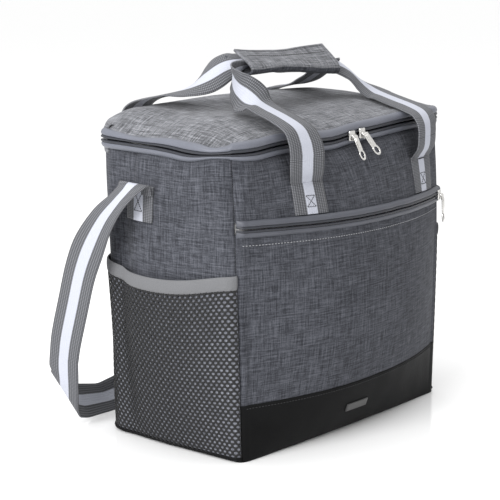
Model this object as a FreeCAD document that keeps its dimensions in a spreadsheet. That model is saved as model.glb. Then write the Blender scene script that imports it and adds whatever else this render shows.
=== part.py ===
import FreeCAD, Part
import math
import os

import Sketcher
from FreeCAD import Placement, Rotation, Vector

# Insulated cooler bag, in millimetres.  +Z is up, +X runs to the right along the front, the front
# faces -Y, and the origin is the centre of the base on the floor.  Soft walls are plain closed
# solids at their real thickness; the webbing is split where it bends when the bag is opened.

DRIVING = {
    "zip_height": 293,          # the coil of the main zip above the floor
    "seam_height": 278,         # top edge of the walls, where the zip tape is sewn on
    "base_half_length": 158,
    "rim_half_length": 168,
    "half_depth": 88,
    "corner_radius": 28,
    "front_bulge": 38,          # front pocket at its fullest
    "side_bulge": 15,
    "back_bulge": 8,
    "bulge_power": 0.55,
    "wall_slack": 0.42,         # share of the pocket's bulge that the wall behind it has
    "slack_height": 150,        # above this the wall comes out to meet the pocket zip
    "fabric": 1.2,
    "foam": 5,
    "liner": 0.8,
    "ply_gap": 0.2,
    "board": 2,
    "foam_foot": 14,            # the foam in the walls stands on the base's turned-up edge
    "band_height": 55,
    "pocket_zip_height": 219,
    "zip_half": 10.6,           # half the visible width of a closed zip
    "coil_gap": 0.6,            # half the gap between the two coils
    "tape": 1.8,
    "crown_height": 30,
    "web_width": 40,
    "web_thick": 1.8,
    "leg_spacing": 192,         # between the two legs of one carrying handle
    "handle_shift": 8,
    "leg_stitch_height": 253,   # bar tack at the top of the sewn part of each leg
    "leg_bend_height": 310,
    "leg_y": 112,
    "grip_half": 69,
    "grip_mid_y": -12,
    "grip_mid_height": 357,
    "grip_depth": 32,
    "grip_tall": 27,
    "grip_wall": 2.4,
    "mesh_height": 166,
    "binding_height": 14,
    "mesh_stand_off": 13,
    "anchor_y": 31,
    "anchor_low": 220,
    "anchor_high": 253,
    "strap_x": 182,
    "slider_wide": 9,
    "slider_tall": 11,
    "slider_plate": 1.8,
    "pull_wide": 8,
    "pull_long": 25,
    "pull_thick": 1.6,
    "pull_tilt": 25,            # degrees the main pulls lean out over the front's bulge
    "main_slider_left_x": 5,
    "main_slider_right_x": 21,
    "pocket_slider_turn": 23,   # degrees round the pocket zip's arc from the middle of the front
    "badge_long": 32,
    "badge_tall": 9,
    "badge_thick": 1,
    "badge_left": -25,
    "badge_low": 24,
}

doc = FreeCAD.newDocument("cooler_bag")
sheet = doc.addObject("Spreadsheet::Sheet", "Dimensions")


def fill_sheet():
    """One row per driving dimension: its name, its value, and the name again as the alias."""
    for row, (alias, value) in enumerate(DRIVING.items(), start=1):
        sheet.set(f"A{row}", alias)
        sheet.set(f"B{row}", str(value))
        sheet.setAlias(f"B{row}", alias)
    doc.recompute()


def dim(alias):
    """The sheet's value for one driving dimension."""
    return float(sheet.get(alias))


def bind(obj, **cells):
    """Bind properties of an object to expressions over the sheet's aliases."""
    for prop, text in cells.items():
        path = prop.replace("__", ".")
        for alias in sorted(DRIVING, key=len, reverse=True):
            text = text.replace(f"<{alias}>", f"Dimensions.{alias}")
        obj.setExpression(path, text)


def feature(label, shape):
    """A sub-part whose shape no parametric primitive fits, such as a sewn wall or webbing."""
    obj = doc.addObject("Part::Feature", label)
    obj.Shape = shape
    obj.Label = label
    obj.Placement = Placement()
    return obj


def box(label, length, width, height, at):
    """A Part::Box whose sides and corner are expressions over the sheet."""
    obj = doc.addObject("Part::Box", label)
    obj.Label = label
    bind(obj, Length=length, Width=width, Height=height)
    bind(obj, Placement__Base__x=at[0], Placement__Base__y=at[1], Placement__Base__z=at[2])
    return obj


def join(kind, label, first, second):
    """A parametric boolean of two objects: Part::Cut or Part::Fuse."""
    obj = doc.addObject(kind, label)
    obj.Label = label
    obj.Base = first
    obj.Tool = second
    return obj


# ---------------------------------------------------------------- the bag's surface

def swell(z):
    """How far the walls bulge at height z, as a share of their full bulge."""
    share = min(max(z / dim("seam_height"), 0), 1)
    return max(math.sin(math.pi * share), 0) ** dim("bulge_power")


def front_bulge(z, behind_pocket):
    """Bulge of the front at its middle: the pocket's outside, or the wall behind the pocket."""
    full = dim("front_bulge") * swell(z)
    if not behind_pocket:
        return full
    top = dim("pocket_zip_height") + dim("zip_half")
    climb = (z - dim("slack_height")) / (top - dim("slack_height"))
    climb = min(max(climb, 0), 1)
    return full * (dim("wall_slack") + (1 - dim("wall_slack")) * climb)


def half_length(z):
    """Half the bag's length at height z, without the bulge."""
    share = min(z / dim("zip_height"), 1)
    return dim("base_half_length") + (dim("rim_half_length") - dim("base_half_length")) * share


def plan_wire(z, inset, behind_pocket=False, shrink=0):
    """Outline of the bag at height z: four bulging sides and four round corners."""
    half_x = half_length(z) - inset - shrink
    half_y = dim("half_depth") - inset - shrink
    radius = max(min(dim("corner_radius") - inset, 0.7 * half_y), 4)
    bulges = [front_bulge(z, behind_pocket), dim("side_bulge") * swell(z),
              dim("back_bulge") * swell(z), dim("side_bulge") * swell(z)]
    edges = []
    for side, out in enumerate(bulges):
        turn = side * math.pi / 2
        run, off = (half_x, half_y) if side % 2 == 0 else (half_y, half_x)

        def place(along, away):
            return Vector(along * math.cos(turn) + away * math.sin(turn),
                          along * math.sin(turn) - away * math.cos(turn), z)

        start = place(-(run - radius), off)
        end = place(run - radius, off)
        edges.append(bulged_edge(start, place(0, off + out), end, out))
        slant = radius * math.sqrt(0.5)
        bend = place(run - radius + slant, off - radius + slant)
        edges.append(Part.Arc(end, bend, place(run, off - radius)).toShape())
    return Part.Wire(edges)


def bulged_edge(start, middle, end, out):
    """One side of an outline: an arc, or a straight line where there is no bulge."""
    if out < 0.01:
        return Part.LineSegment(start, end).toShape()
    return Part.Arc(start, middle, end).toShape()


def levels(low, high):
    """Heights of the outlines that a wall is lofted through, from low to high."""
    inner = [z for z in (14, 35, 70, 110, 150, 190, 215, 240, 258, 270) if low + 4 < z < high - 4]
    return [low] + inner + [high]


def bulk(low, high, inset, behind_pocket=False):
    """Everything inside the bag's surface, set in by inset, between two heights."""
    wires = [plan_wire(z, inset, behind_pocket) for z in levels(low, high)]
    return Part.makeLoft(wires, True, True)


def skin(low, high, outer, inner, behind_pocket=False):
    """A closed ring of wall between two insets."""
    return bulk(low, high, outer, behind_pocket).cut(bulk(low, high, inner, behind_pocket))


def wedge(side):
    """The quarter of the plan that belongs to one side: 0 front, 1 right, 2 back, 3 left."""
    reach = 120
    corners = [(-half_length(0) - reach, -dim("half_depth") - reach),
               (-half_length(0) + dim("half_depth"), 0),
               (half_length(0) - dim("half_depth"), 0),
               (half_length(0) + reach, -dim("half_depth") - reach)]
    if side % 2:
        corners = [(half_length(0) + reach, -dim("half_depth") - reach),
                   (half_length(0) - dim("half_depth"), 0),
                   (half_length(0) + reach, dim("half_depth") + reach)]
    if side in (2, 3):
        corners = [(-x, -y) for x, y in corners]
    face = Part.Face(Part.makePolygon([Vector(x, y, -5) for x, y in corners + corners[:1]]))
    return face.extrude(Vector(0, 0, dim("zip_height") + 60))


SIDES = {"front": 0, "right": 1, "back": 2, "left": 3}


# ---------------------------------------------------------------- walls and inside

def make_walls():
    """The outer fabric, the foam behind it and the one-piece liner."""
    floor = dim("fabric") + dim("board") + dim("foam") + 3 * dim("ply_gap")
    foam_out = dim("fabric") + dim("ply_gap")
    foam_in = foam_out + dim("foam")
    fabric = skin(dim("fabric"), dim("seam_height"), 0, dim("fabric"), True)
    foam = skin(dim("foam_foot"), dim("seam_height"), foam_out, foam_in, True)
    names = {"front": "front_panel", "right": "right_side_panel",
             "back": "back_panel", "left": "left_side_panel"}
    for side, number in SIDES.items():
        feature(names[side], fabric.common(wedge(number)))
        feature(f"{side}_foam", foam.common(wedge(number)))
    feature("bottom_panel", bulk(0, dim("fabric"), 0, True))
    liner_out = foam_in + dim("ply_gap")
    liner = bulk(floor, dim("seam_height"), liner_out, True)
    hollow = bulk(floor + dim("liner"), dim("seam_height"), liner_out + dim("liner"), True)
    feature("inner_liner", liner.cut(hollow))


def rounded_pad(label, inset, low, thick):
    """A flat sheet under the foam: a sketched rectangle with round corners, padded upwards."""
    body = doc.addObject("PartDesign::Body", label)
    body.Label = label
    sketch = body.newObject("Sketcher::SketchObject", f"{label}_outline")
    plane = [f for f in body.Origin.OriginFeatures if f.Role == "XY_Plane"][0]
    sketch.AttachmentSupport = [(plane, "")]
    sketch.MapMode = "FlatFace"
    half_x = dim("base_half_length") - inset
    half_y = dim("half_depth") - inset
    points = [Vector(-half_x, -half_y, 0), Vector(half_x, -half_y, 0),
              Vector(half_x, half_y, 0), Vector(-half_x, half_y, 0)]
    for index in range(4):
        sketch.addGeometry(Part.LineSegment(points[index], points[(index + 1) % 4]))
    for index in range(4):
        sketch.addConstraint(Sketcher.Constraint("Coincident", index, 2, (index + 1) % 4, 1))
    for index, kind in enumerate(("Horizontal", "Vertical", "Horizontal", "Vertical")):
        sketch.addConstraint(Sketcher.Constraint(kind, index))
    sketch.addConstraint(Sketcher.Constraint("Symmetric", 0, 1, 1, 2, -1, 1))
    length = sketch.addConstraint(Sketcher.Constraint("DistanceX", 0, 1, 0, 2, 2 * half_x))
    width = sketch.addConstraint(Sketcher.Constraint("DistanceY", 1, 1, 1, 2, 2 * half_y))
    bind(sketch, **{f"Constraints[{length}]": f"2 * (<base_half_length> - {inset})",
                    f"Constraints[{width}]": f"2 * (<half_depth> - {inset})"})
    bind(sketch, AttachmentOffset__Base__z=low)
    pad = body.newObject("PartDesign::Pad", f"{label}_pad")
    pad.Profile = sketch
    bind(pad, Length=thick)
    doc.recompute()
    upright = [f"Edge{i}" for i, edge in enumerate(pad.Shape.Edges, start=1)
               if abs(edge.tangentAt(edge.FirstParameter).z) > 0.9]
    fillet = body.newObject("PartDesign::Fillet", f"{label}_corners")
    fillet.Base = (pad, upright)
    bind(fillet, Radius="<corner_radius> - 4")
    return body


def make_floor_layers():
    """The stiff board in the base and the foam on top of it."""
    rounded_pad("base_board", 2.5, "<fabric> + <ply_gap>", "<board>")
    rounded_pad("floor_foam", 2.5, "<fabric> + <board> + 2 * <ply_gap>", "<foam>")


def make_front_pocket():
    """The pocket's front panel and the smooth band below it, both on the full bulge."""
    top = dim("pocket_zip_height") - dim("zip_half") + 2
    ring = skin(dim("fabric"), top, 0, dim("fabric"))
    front = ring.common(wedge(0)).cut(bulk(dim("fabric"), top, -0.05, True))
    low_box = Part.makeBox(600, 400, dim("band_height"), Vector(-300, -300, 0))
    feature("base_band", main_solid(front.common(low_box)))
    feature("front_pocket_panel", main_solid(front.cut(low_box)))


def main_solid(shape):
    """The largest solid of a boolean's result."""
    return max(shape.Solids, key=lambda solid: solid.Volume)


# ---------------------------------------------------------------- zips

def make_main_zip():
    """The two halves of the main zip: one on the walls, one on the lid, open at the back."""
    mid = dim("zip_height")
    band = {"main_zip_lower_tape": (dim("seam_height"), mid - dim("coil_gap")),
            "main_zip_upper_tape": (mid + dim("coil_gap"), mid + dim("zip_half") + 1)}
    front_of_hinge = Part.makeBox(600, 400, 60, Vector(-300, dim("half_depth") - 34 - 400, mid - 30))
    for label, (low, high) in band.items():
        outer = Part.makeLoft([plan_wire(low, -dim("tape")), plan_wire(high, -dim("tape"))], True, True)
        inner = Part.makeLoft([plan_wire(low, 0), plan_wire(high, 0)], True, True)
        feature(label, outer.cut(inner).common(front_of_hinge))


def pocket_arc(inset):
    """Centre and radius in plan of the pocket zip's arc, set in by inset."""
    out = dim("front_bulge") * swell(dim("pocket_zip_height"))
    chord = half_length(dim("pocket_zip_height")) - dim("corner_radius")
    radius = (chord * chord + out * out) / (2 * out)
    return -(dim("half_depth") + out) + radius, radius - inset


def arc_strip(low, high, inner, outer, turn):
    """A strip that follows the pocket zip's arc, between two insets and two heights."""
    centre, radius = pocket_arc(0)
    ring = Part.makeCylinder(radius - outer, high - low, Vector(0, centre, low))
    ring = ring.cut(Part.makeCylinder(radius - inner, high - low, Vector(0, centre, low)))
    far = 3 * radius
    corners = [Vector(0, centre, low), Vector(-far * math.sin(turn), centre - far * math.cos(turn), low),
               Vector(far * math.sin(turn), centre - far * math.cos(turn), low), Vector(0, centre, low)]
    return ring.common(Part.Face(Part.makePolygon(corners)).extrude(Vector(0, 0, high - low)))


def make_pocket_zip():
    """The two halves of the pocket zip, standing a little proud of the front."""
    mid = dim("pocket_zip_height")
    turn = math.radians(dim("pocket_slider_turn") + 1.5)
    proud = dim("tape") + 3.4
    feature("pocket_zip_lower_tape", arc_strip(mid - dim("zip_half"), mid - dim("coil_gap"),
                                               -proud + dim("tape"), -proud, turn))
    feature("pocket_zip_upper_tape", arc_strip(mid + dim("coil_gap"), mid + dim("zip_half"),
                                               -proud + dim("tape"), -proud, turn))


def make_main_slider(side):
    """A slider head gripping the coil: a front plate, a rear plate and the neck between them."""
    label = f"main_slider_{side}"
    spot = f"<main_slider_{side}_x>"
    left_edge = f"{spot} - <slider_wide> / 2"
    foot = "<zip_height> - <slider_tall> / 2"
    front = box(f"{label}_front", "<slider_wide>", "<slider_plate>", "<slider_tall>",
                (left_edge, "-<half_depth> - <tape> - 0.4 - <slider_plate>", foot))
    rear = box(f"{label}_rear", "<slider_wide>", "1.2", "<slider_tall>",
               (left_edge, "-<half_depth> + 0.4", foot))
    neck = box(f"{label}_neck", "<slider_wide> / 2", "<tape> + 1", "<coil_gap>",
               (f"{spot} - <slider_wide> / 4", "-<half_depth> - <tape> - 0.5",
                "<zip_height> - <coil_gap> / 2"))
    shell = join("Part::Fuse", f"{label}_plates", front, neck)
    return join("Part::Fuse", label, shell, rear)


def make_main_sliders():
    """The two sliders of the main zip."""
    for side in ("left", "right"):
        make_main_slider(side)


def pull_tab(label, across, top, near):
    """A pull: a flat tab that hangs from the slider, with a round hole near its tip."""
    tab = box(f"{label}_tab", "<pull_wide>", "<pull_thick>", "<pull_long>",
              (f"{across} - <pull_wide> / 2", near, f"{top} - <pull_long>"))
    hole = doc.addObject("Part::Cylinder", f"{label}_hole")
    hole.Placement.Rotation = Rotation(Vector(1, 0, 0), 90)
    bind(hole, Radius="<pull_wide> / 4", Height="3 * <pull_thick>",
         Placement__Base__x=across, Placement__Base__y=f"{near} + 2 * <pull_thick>",
         Placement__Base__z=f"{top} - <pull_long> + <pull_wide> / 2")
    pull = join("Part::Cut", label, tab, hole)
    pivot = Vector(0, -dim("half_depth") - dim("tape") - 3.4, dim("zip_height") + 2.5)
    pull.Placement = Placement(Vector(), Rotation(Vector(-1, 0, 0), dim("pull_tilt")), pivot)


def make_main_pulls():
    """Both pulls of the main zip, hanging in front of their sliders."""
    near = "-<half_depth> - <tape> - 0.8 - <slider_plate> - <pull_thick>"
    for side in ("left", "right"):
        pull_tab(f"main_pull_{side}", f"<main_slider_{side}_x>", "<zip_height> + 3", near)


def make_pocket_slider():
    """The pocket zip's slider and pull, turned about the arc's centre to the zip's right end."""
    centre, radius = pocket_arc(0)
    face = radius + dim("tape") + 3.4
    turn = Rotation(Vector(0, 0, 1), dim("pocket_slider_turn"))
    mid = dim("pocket_zip_height")
    wide, tall, plate = dim("slider_wide"), dim("slider_tall"), dim("slider_plate")
    head = Part.makeBox(wide, plate, tall, Vector(-wide / 2, -face - 0.4 - plate, mid - tall / 2))
    neck = Part.makeBox(wide / 2, 1.4, dim("coil_gap"),
                        Vector(-wide / 4, -face - 0.5, mid - dim("coil_gap") / 2))
    slider = feature("pocket_slider", head.fuse(neck))
    slider.Placement = Placement(Vector(0, centre, 0), turn)
    long, thick, across = dim("pull_long"), dim("pull_thick"), dim("pull_wide")
    near = -face - 0.8 - plate - thick
    tab = Part.makeBox(across, thick, long, Vector(-across / 2, near, mid + 3 - long))
    hole = Part.makeCylinder(across / 4, 3 * thick, Vector(0, near - thick, mid + 3 - long + across / 2),
                             Vector(0, 1, 0))
    pull = feature("pocket_pull", tab.cut(hole))
    pull.Placement = Placement(Vector(0, centre, 0), turn)


# ---------------------------------------------------------------- lid

LID_STEPS = ((0, 11), (3, 15), (14, 21), (36, 26), (66, 30))   # inset and height above the coil


def dome(thick, low):
    """Everything under the lid's crown, pressed down by thick and set in to match."""
    mid = dim("zip_height")
    scale = dim("crown_height") / LID_STEPS[-1][1]
    wires = [plan_wire(mid, thick)]
    wires[0] = lifted(wires[0], low)
    for inset, up in LID_STEPS:
        height = up * scale - thick
        if height <= low + 0.5:
            continue
        wires.append(lifted(plan_wire(mid, thick, False, inset), height))
    return Part.makeLoft(wires, True, True)


def lifted(wire, height):
    """The same outline, moved up."""
    moved = wire.copy()
    moved.translate(Vector(0, 0, height))
    return moved


def make_lid():
    """The lid: fabric on top, foam below it, and the liner facing the inside."""
    skirt = dim("zip_half") - 2
    feature("lid_panel", dome(0, skirt).cut(dome(dim("fabric"), skirt)))
    gap = dim("fabric") + dim("ply_gap")
    feature("lid_foam", dome(gap, skirt).cut(dome(gap + dim("foam"), skirt)))
    under = gap + dim("foam") + dim("ply_gap")
    feature("lid_liner", dome(under, skirt).cut(dome(under + dim("liner"), skirt)))


def make_hinge_gusset():
    """The strip of fabric that joins the back wall to the lid and folds when it opens."""
    long = "2 * (<rim_half_length> - <corner_radius> - 4)"
    left = "-<rim_half_length> + <corner_radius> + 4"
    inner = "<half_depth> - <fabric>"
    box("hinge_gusset_lower", long, "<fabric>", "<zip_height> - <coil_gap> - <seam_height>",
        (left, inner, "<seam_height>"))
    box("hinge_gusset_upper", long, "<fabric>", "<zip_half> - 2 - <coil_gap>",
        (left, inner, "<zip_height> + <coil_gap>"))


# ---------------------------------------------------------------- webbing

def section(centre, across, wide, through, thick):
    """A rectangle: wide along the unit vector across, thick along the unit vector through."""
    half_a = across * (wide / 2)
    half_t = through * (thick / 2)
    corners = [centre - half_a - half_t, centre + half_a - half_t,
               centre + half_a + half_t, centre - half_a + half_t]
    return Part.makePolygon(corners + corners[:1])


def ribbon(route, wide, thick):
    """Webbing through a list of (centre, across, through) stations, straight between them."""
    wires = [section(Vector(*centre), Vector(*across).normalize(), wide,
                     Vector(*through).normalize(), thick) for centre, across, through in route]
    return straight_loft(wires)


def straight_loft(wires):
    """A solid ruled through wires, lofted the way round that faces outwards."""
    solid = Part.makeLoft(wires, True, True)
    return solid if solid.Volume > 0 else Part.makeLoft(wires[::-1], True, True)


def fused(shapes):
    """One solid from solids that overlap or touch."""
    whole = shapes[0]
    for shape in shapes[1:]:
        whole = whole.fuse(shape)
    return whole.removeSplitter()


def wall_y(x, z):
    """How far the front pocket's surface stands out at x and z."""
    chord = half_length(z) - dim("corner_radius")
    return dim("half_depth") + dim("front_bulge") * swell(z) * (1 - (x / chord) ** 2)


def leg_places():
    """The middle of each leg of a carrying handle, left then right."""
    half = dim("leg_spacing") / 2
    return dim("handle_shift") - half, dim("handle_shift") + half


def make_sewn_ends():
    """The part of each leg that is sewn flat to the bag, front and back."""
    low = dim("pocket_zip_height") + dim("zip_half") + 0.5
    high = dim("leg_stitch_height") - 1
    groups = {"front_webbing_ends": -1, "back_webbing_ends": 1}
    for label, way in groups.items():
        pieces = []
        for x in leg_places():
            stations = []
            for z in (low, high):
                out = wall_y(x - 17 * math.copysign(1, x), z) if way < 0 else (
                    dim("half_depth") + dim("back_bulge") * swell(z))
                tilt = 0.27 * math.copysign(1, x) if way < 0 else 0
                centre = (x, way * (out + 2.6), z)
                stations.append((centre, (1, tilt * 0.8, 0), (-tilt * 0.8, 1, 0)))
            pieces.append(ribbon(stations, dim("web_width"), dim("web_thick")))
        feature(label, Part.makeCompound(pieces))


def leg_route(x, way):
    """The free part of a leg, from the bar tack to just below its bend."""
    return [((x, way * dim("leg_y"), height), (1, 0, 0), (0, 1, 0))
            for height in (dim("leg_stitch_height") + 2, dim("leg_bend_height") - 2.5)]


def make_legs():
    """The free legs of both carrying handles."""
    for label, way in (("front_webbing_legs", -1), ("back_webbing_legs", 1)):
        pieces = [ribbon(leg_route(x, way), dim("web_width"), dim("web_thick")) for x in leg_places()]
        feature(label, Part.makeCompound(pieces))


def handle_top(bar_y, bar_deep, bar_tall):
    """The top of the front handle: over the lid's edge, across to the grip and along inside it."""
    bend = dim("leg_bend_height")
    thick = dim("web_thick")
    reach = dim("web_width") / 2
    over, rise = -48, 24
    mid = dim("grip_mid_height")
    half = dim("grip_half") - 1
    slope = (0, -0.35, 1)
    shapes = [Part.makeBox(2 * half, bar_deep, bar_tall,
                           Vector(-half, bar_y - bar_deep / 2, mid - bar_tall / 2))]
    for x in leg_places():
        hand = math.copysign(1, x)
        shapes.append(ribbon([((x, 3 - dim("leg_y"), bend + 2), (1, 0, 0), slope),
                              ((x, over, bend + rise), (1, 0, 0), slope)], 2 * reach, thick))
        near = Vector(x - hand * reach, over, bend + rise)
        far = Vector(x + hand * reach, over, bend + rise)
        lift = Vector(0, 0, thick / 2)
        start = Part.makePolygon([near - lift, far - lift, far + lift, near + lift, near - lift])
        low, high = mid - bar_tall / 2, mid + bar_tall / 2
        front, rear = bar_y - bar_deep / 2, bar_y + bar_deep / 2
        corners = [Vector(hand * half, y, z)
                   for y, z in ((front, low), (rear, low), (rear, high), (front, high), (front, low))]
        shapes.append(straight_loft([start, Part.makePolygon(corners)]))
    return fused(shapes)


def make_handles():
    """Both handle tops: the front one lies at the grip's fold, the back one at its mouth."""
    feature("front_webbing_top", handle_top(dim("grip_mid_y") - 6, 9, 12))
    back = handle_top(-dim("grip_mid_y") - 7.5, 8, 9)
    feature("back_webbing_top", back.mirror(Vector(), Vector(0, 1, 0)))


def make_grip():
    """The padded wrap: bottom layer and front fold in one piece, and the flap that closes it."""
    bottom = "<grip_mid_height> - <grip_tall> / 2"
    top = "<grip_mid_height> + <grip_tall> / 2 - <grip_wall>"
    front = "<grip_mid_y> - <grip_depth> / 2"
    sheet_low = box("grip_bottom_layer", "2 * <grip_half> - 6", "<grip_depth>", "<grip_wall>",
                    ("3 - <grip_half>", front, bottom))
    fold = box("grip_front_fold", "2 * <grip_half> - 6", "<grip_wall>", "<grip_tall> - <grip_wall> - 0.4",
               ("3 - <grip_half>", front, bottom))
    join("Part::Fuse", "grip_wrap", sheet_low, fold)
    box("grip_flap", "2 * <grip_half> - 6", "<grip_depth>", "<grip_wall>",
        ("3 - <grip_half>", front, top))
    box("grip_loop_patch", "2 * <grip_half> - 26", "8", "0.8",
        ("13 - <grip_half>", "<grip_mid_y> + <grip_depth> / 2 - 9", f"{bottom} + <grip_wall>"))
    box("grip_hook_patch", "2 * <grip_half> - 26", "8", "0.8",
        ("13 - <grip_half>", "<grip_mid_y> + <grip_depth> / 2 - 9", f"{top} - 0.8"))


# ---------------------------------------------------------------- sides

def make_mesh_pockets():
    """A mesh pocket on each side, standing off the wall, with its elastic binding."""
    top = dim("mesh_height")
    bind_top = top + dim("binding_height")
    for side in ("left", "right"):
        number = SIDES[side]
        hand = -1 if side == "left" else 1
        for label, low, high in ((f"{side}_mesh_pocket", dim("fabric"), top),
                                 (f"{side}_pocket_binding", top, bind_top)):
            outer = side_bulk(low, high, dim("mesh_stand_off"), hand)
            inner = side_bulk(low, high, dim("mesh_stand_off") - 1.4, hand)
            core = bulk(low, high, -0.05)
            ring = outer.cut(inner).cut(core).common(wedge(number))
            feature(label, main_solid(ring))


def side_bulk(low, high, out, hand):
    """A solid whose outside stands out from one side wall by up to out."""
    wires = []
    half_y = dim("half_depth") - 16
    for z in levels(low, high):
        share = math.sin(math.pi * min(z / 250, 1)) ** 0.5 if z > 0 else 0
        wall = half_length(z)
        top = wall + dim("side_bulge") * swell(z) + out * share
        edge = wall - 8
        start, end = Vector(hand * edge, -half_y, z), Vector(hand * edge, half_y, z)
        shift = out - dim("mesh_stand_off")
        start.y -= shift
        end.y += shift
        arc = Part.Arc(start, Vector(hand * top, 0, z), end).toShape()
        wires.append(Part.Wire([arc, Part.LineSegment(end, start).toShape()]))
    return Part.makeLoft(wires, True, True)


def side_x(y, z):
    """How far a side wall stands out at y and z."""
    chord = dim("half_depth") - dim("corner_radius")
    return half_length(z) + dim("side_bulge") * swell(z) * (1 - (y / chord) ** 2)


def make_anchors():
    """The patch on each side that the shoulder strap is sewn to."""
    for hand, label in ((-1, "left_strap_anchor"), (1, "right_strap_anchor")):
        stations = []
        for z in (dim("anchor_low"), dim("anchor_high")):
            out = max(side_x(dim("anchor_y") - 15, z), side_x(dim("anchor_y"), z)) + 1.2
            stations.append(((hand * out, dim("anchor_y"), z), (0, 1, 0), (1, 0, 0)))
        feature(label, ribbon(stations, dim("web_width") * 0.85, dim("web_thick")))


# stations of the shoulder strap on the left, as (x inwards of strap_x, y, height, how far the
# webbing has turned from facing sideways to standing on edge behind the bag)
STRAP_STATIONS = ((0, 31, 250, 0), (0, 46, 232, 0), (0, 80, 199, 0), (1, 106, 161, 0),
                  (3, 122, 118, 0), (8, 130, 76, 0), (16, 132, 44, 15), (32, 122, 23, 60),
                  (54, 112, 21.5, 90))
STRAP_SLOPES = (48, 46, 40, 60, 75, 83, 88, 60, 0)     # degrees below level, going backwards


def strap_station(hand, index):
    """One station of the shoulder strap, as ribbon() takes it."""
    inwards, y, z, turned = STRAP_STATIONS[index]
    slope = math.radians(STRAP_SLOPES[index])
    spin = math.radians(turned)
    centre = (hand * (dim("strap_x") - inwards), y, z)
    if turned >= 90:
        return centre, (0, 0, 1), (0, 1, 0)
    flat = Vector(0, math.sin(slope), math.cos(slope))
    across = flat * math.cos(spin) + Vector(0, 0, 1) * math.sin(spin)
    heading = Vector(hand * -math.sin(spin), math.cos(slope) * math.cos(spin),
                     -math.sin(slope) * math.cos(spin))
    through = heading.cross(across)
    return centre, tuple(across), tuple(through)


def make_shoulder_strap():
    """The long strap: down each side, round the back corners and along the floor behind."""
    pieces = []
    for hand in (-1, 1):
        route = [strap_station(hand, i) for i in range(len(STRAP_STATIONS))]
        pieces.append(ribbon(route, dim("web_width"), dim("web_thick")))
    end = dim("strap_x") - STRAP_STATIONS[-1][0]
    y, z = STRAP_STATIONS[-1][1], STRAP_STATIONS[-1][2]
    pieces.append(Part.makeBox(2 * end, dim("web_thick"), dim("web_width"),
                               Vector(-end, y - dim("web_thick") / 2, z - dim("web_width") / 2)))
    feature("shoulder_webbing", fused(pieces))


def make_adjuster():
    """The three-bar slide that sets the strap's length, lying on the run behind the bag."""
    y = STRAP_STATIONS[-1][1]
    z = STRAP_STATIONS[-1][2]
    plate = Part.makeBox(30, 3, 50, Vector(60, y + 1.3, z - 25))
    plate = plate.common(Part.makeBox(30, 3, z + 25 - 0.6, Vector(60, y + 1.3, 0.6)))
    for x in (64, 78):
        plate = plate.cut(Part.makeBox(8, 5, 39, Vector(x, y, z - 19)))
    feature("strap_adjuster", plate)


def make_badge():
    """A blank badge on the smooth band at the foot of the front."""
    out = wall_y(0, dim("badge_low") + dim("badge_tall")) + 0.1
    box("front_badge", "<badge_long>", "<badge_thick>", "<badge_tall>",
        ("<badge_left>", f"-{out:.1f} - <badge_thick>", "<badge_low>"))


MAKERS = (make_walls, make_floor_layers, make_front_pocket, make_main_zip, make_pocket_zip,
          make_main_sliders, make_main_pulls, make_pocket_slider, make_lid, make_hinge_gusset, make_sewn_ends,
          make_legs, make_handles, make_grip, make_mesh_pockets, make_anchors,
          make_shoulder_strap, make_adjuster, make_badge)


def sub_parts():
    """Objects that nothing else is built from, in the order they were made."""
    used = set()
    for obj in doc.Objects:
        if obj.TypeId in ("Part::Cut", "Part::Fuse"):
            used.update((obj.Base.Name, obj.Tool.Name))
    kinds = ("Part::Feature", "Part::Box", "Part::Cut", "Part::Fuse", "PartDesign::Body")
    return [o for o in doc.Objects if o.TypeId in kinds and o.Name not in used]


def check(obj):
    """Stop on a failed object or a shape that can't be used."""
    if "Invalid" in obj.State or "Error" in obj.State:
        raise RuntimeError(f"{obj.Label}: {obj.State}")


def main():
    fill_sheet()
    for maker in MAKERS:
        maker()
    doc.recompute()
    for obj in doc.Objects:
        check(obj)
    os.makedirs("parts", exist_ok=True)
    for obj in sub_parts():
        if obj.Shape.isNull() or not obj.Shape.isValid():
            raise RuntimeError(f"{obj.Label}: no valid shape")
        obj.Shape.exportStep(f"parts/{obj.Label}.step")
        print(obj.Label, len(obj.Shape.Solids), round(obj.Shape.Volume / 1000, 2), "cm3")


main()
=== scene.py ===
import math

import bmesh
import bpy
import numpy as np
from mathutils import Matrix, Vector, noise


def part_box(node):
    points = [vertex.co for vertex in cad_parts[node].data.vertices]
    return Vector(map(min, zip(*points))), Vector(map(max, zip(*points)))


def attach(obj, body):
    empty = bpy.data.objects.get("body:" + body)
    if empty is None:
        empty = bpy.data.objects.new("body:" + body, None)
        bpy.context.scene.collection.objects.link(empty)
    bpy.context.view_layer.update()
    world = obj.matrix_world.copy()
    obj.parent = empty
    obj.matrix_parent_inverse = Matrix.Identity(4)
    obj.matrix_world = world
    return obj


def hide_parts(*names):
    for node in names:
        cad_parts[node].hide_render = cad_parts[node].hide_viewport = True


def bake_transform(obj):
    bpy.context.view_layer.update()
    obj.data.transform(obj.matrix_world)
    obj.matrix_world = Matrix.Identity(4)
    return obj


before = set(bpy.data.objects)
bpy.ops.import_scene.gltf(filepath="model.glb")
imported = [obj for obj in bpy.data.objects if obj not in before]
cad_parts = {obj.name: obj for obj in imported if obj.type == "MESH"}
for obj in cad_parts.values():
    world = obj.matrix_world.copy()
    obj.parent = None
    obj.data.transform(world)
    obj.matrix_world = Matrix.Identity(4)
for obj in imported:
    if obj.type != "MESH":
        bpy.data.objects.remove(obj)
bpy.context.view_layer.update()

# Insulated cooler bag: the looks.  Metres, in the CAD model's frame: +Z up, the front faces -Y.
MM = 0.001

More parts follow.
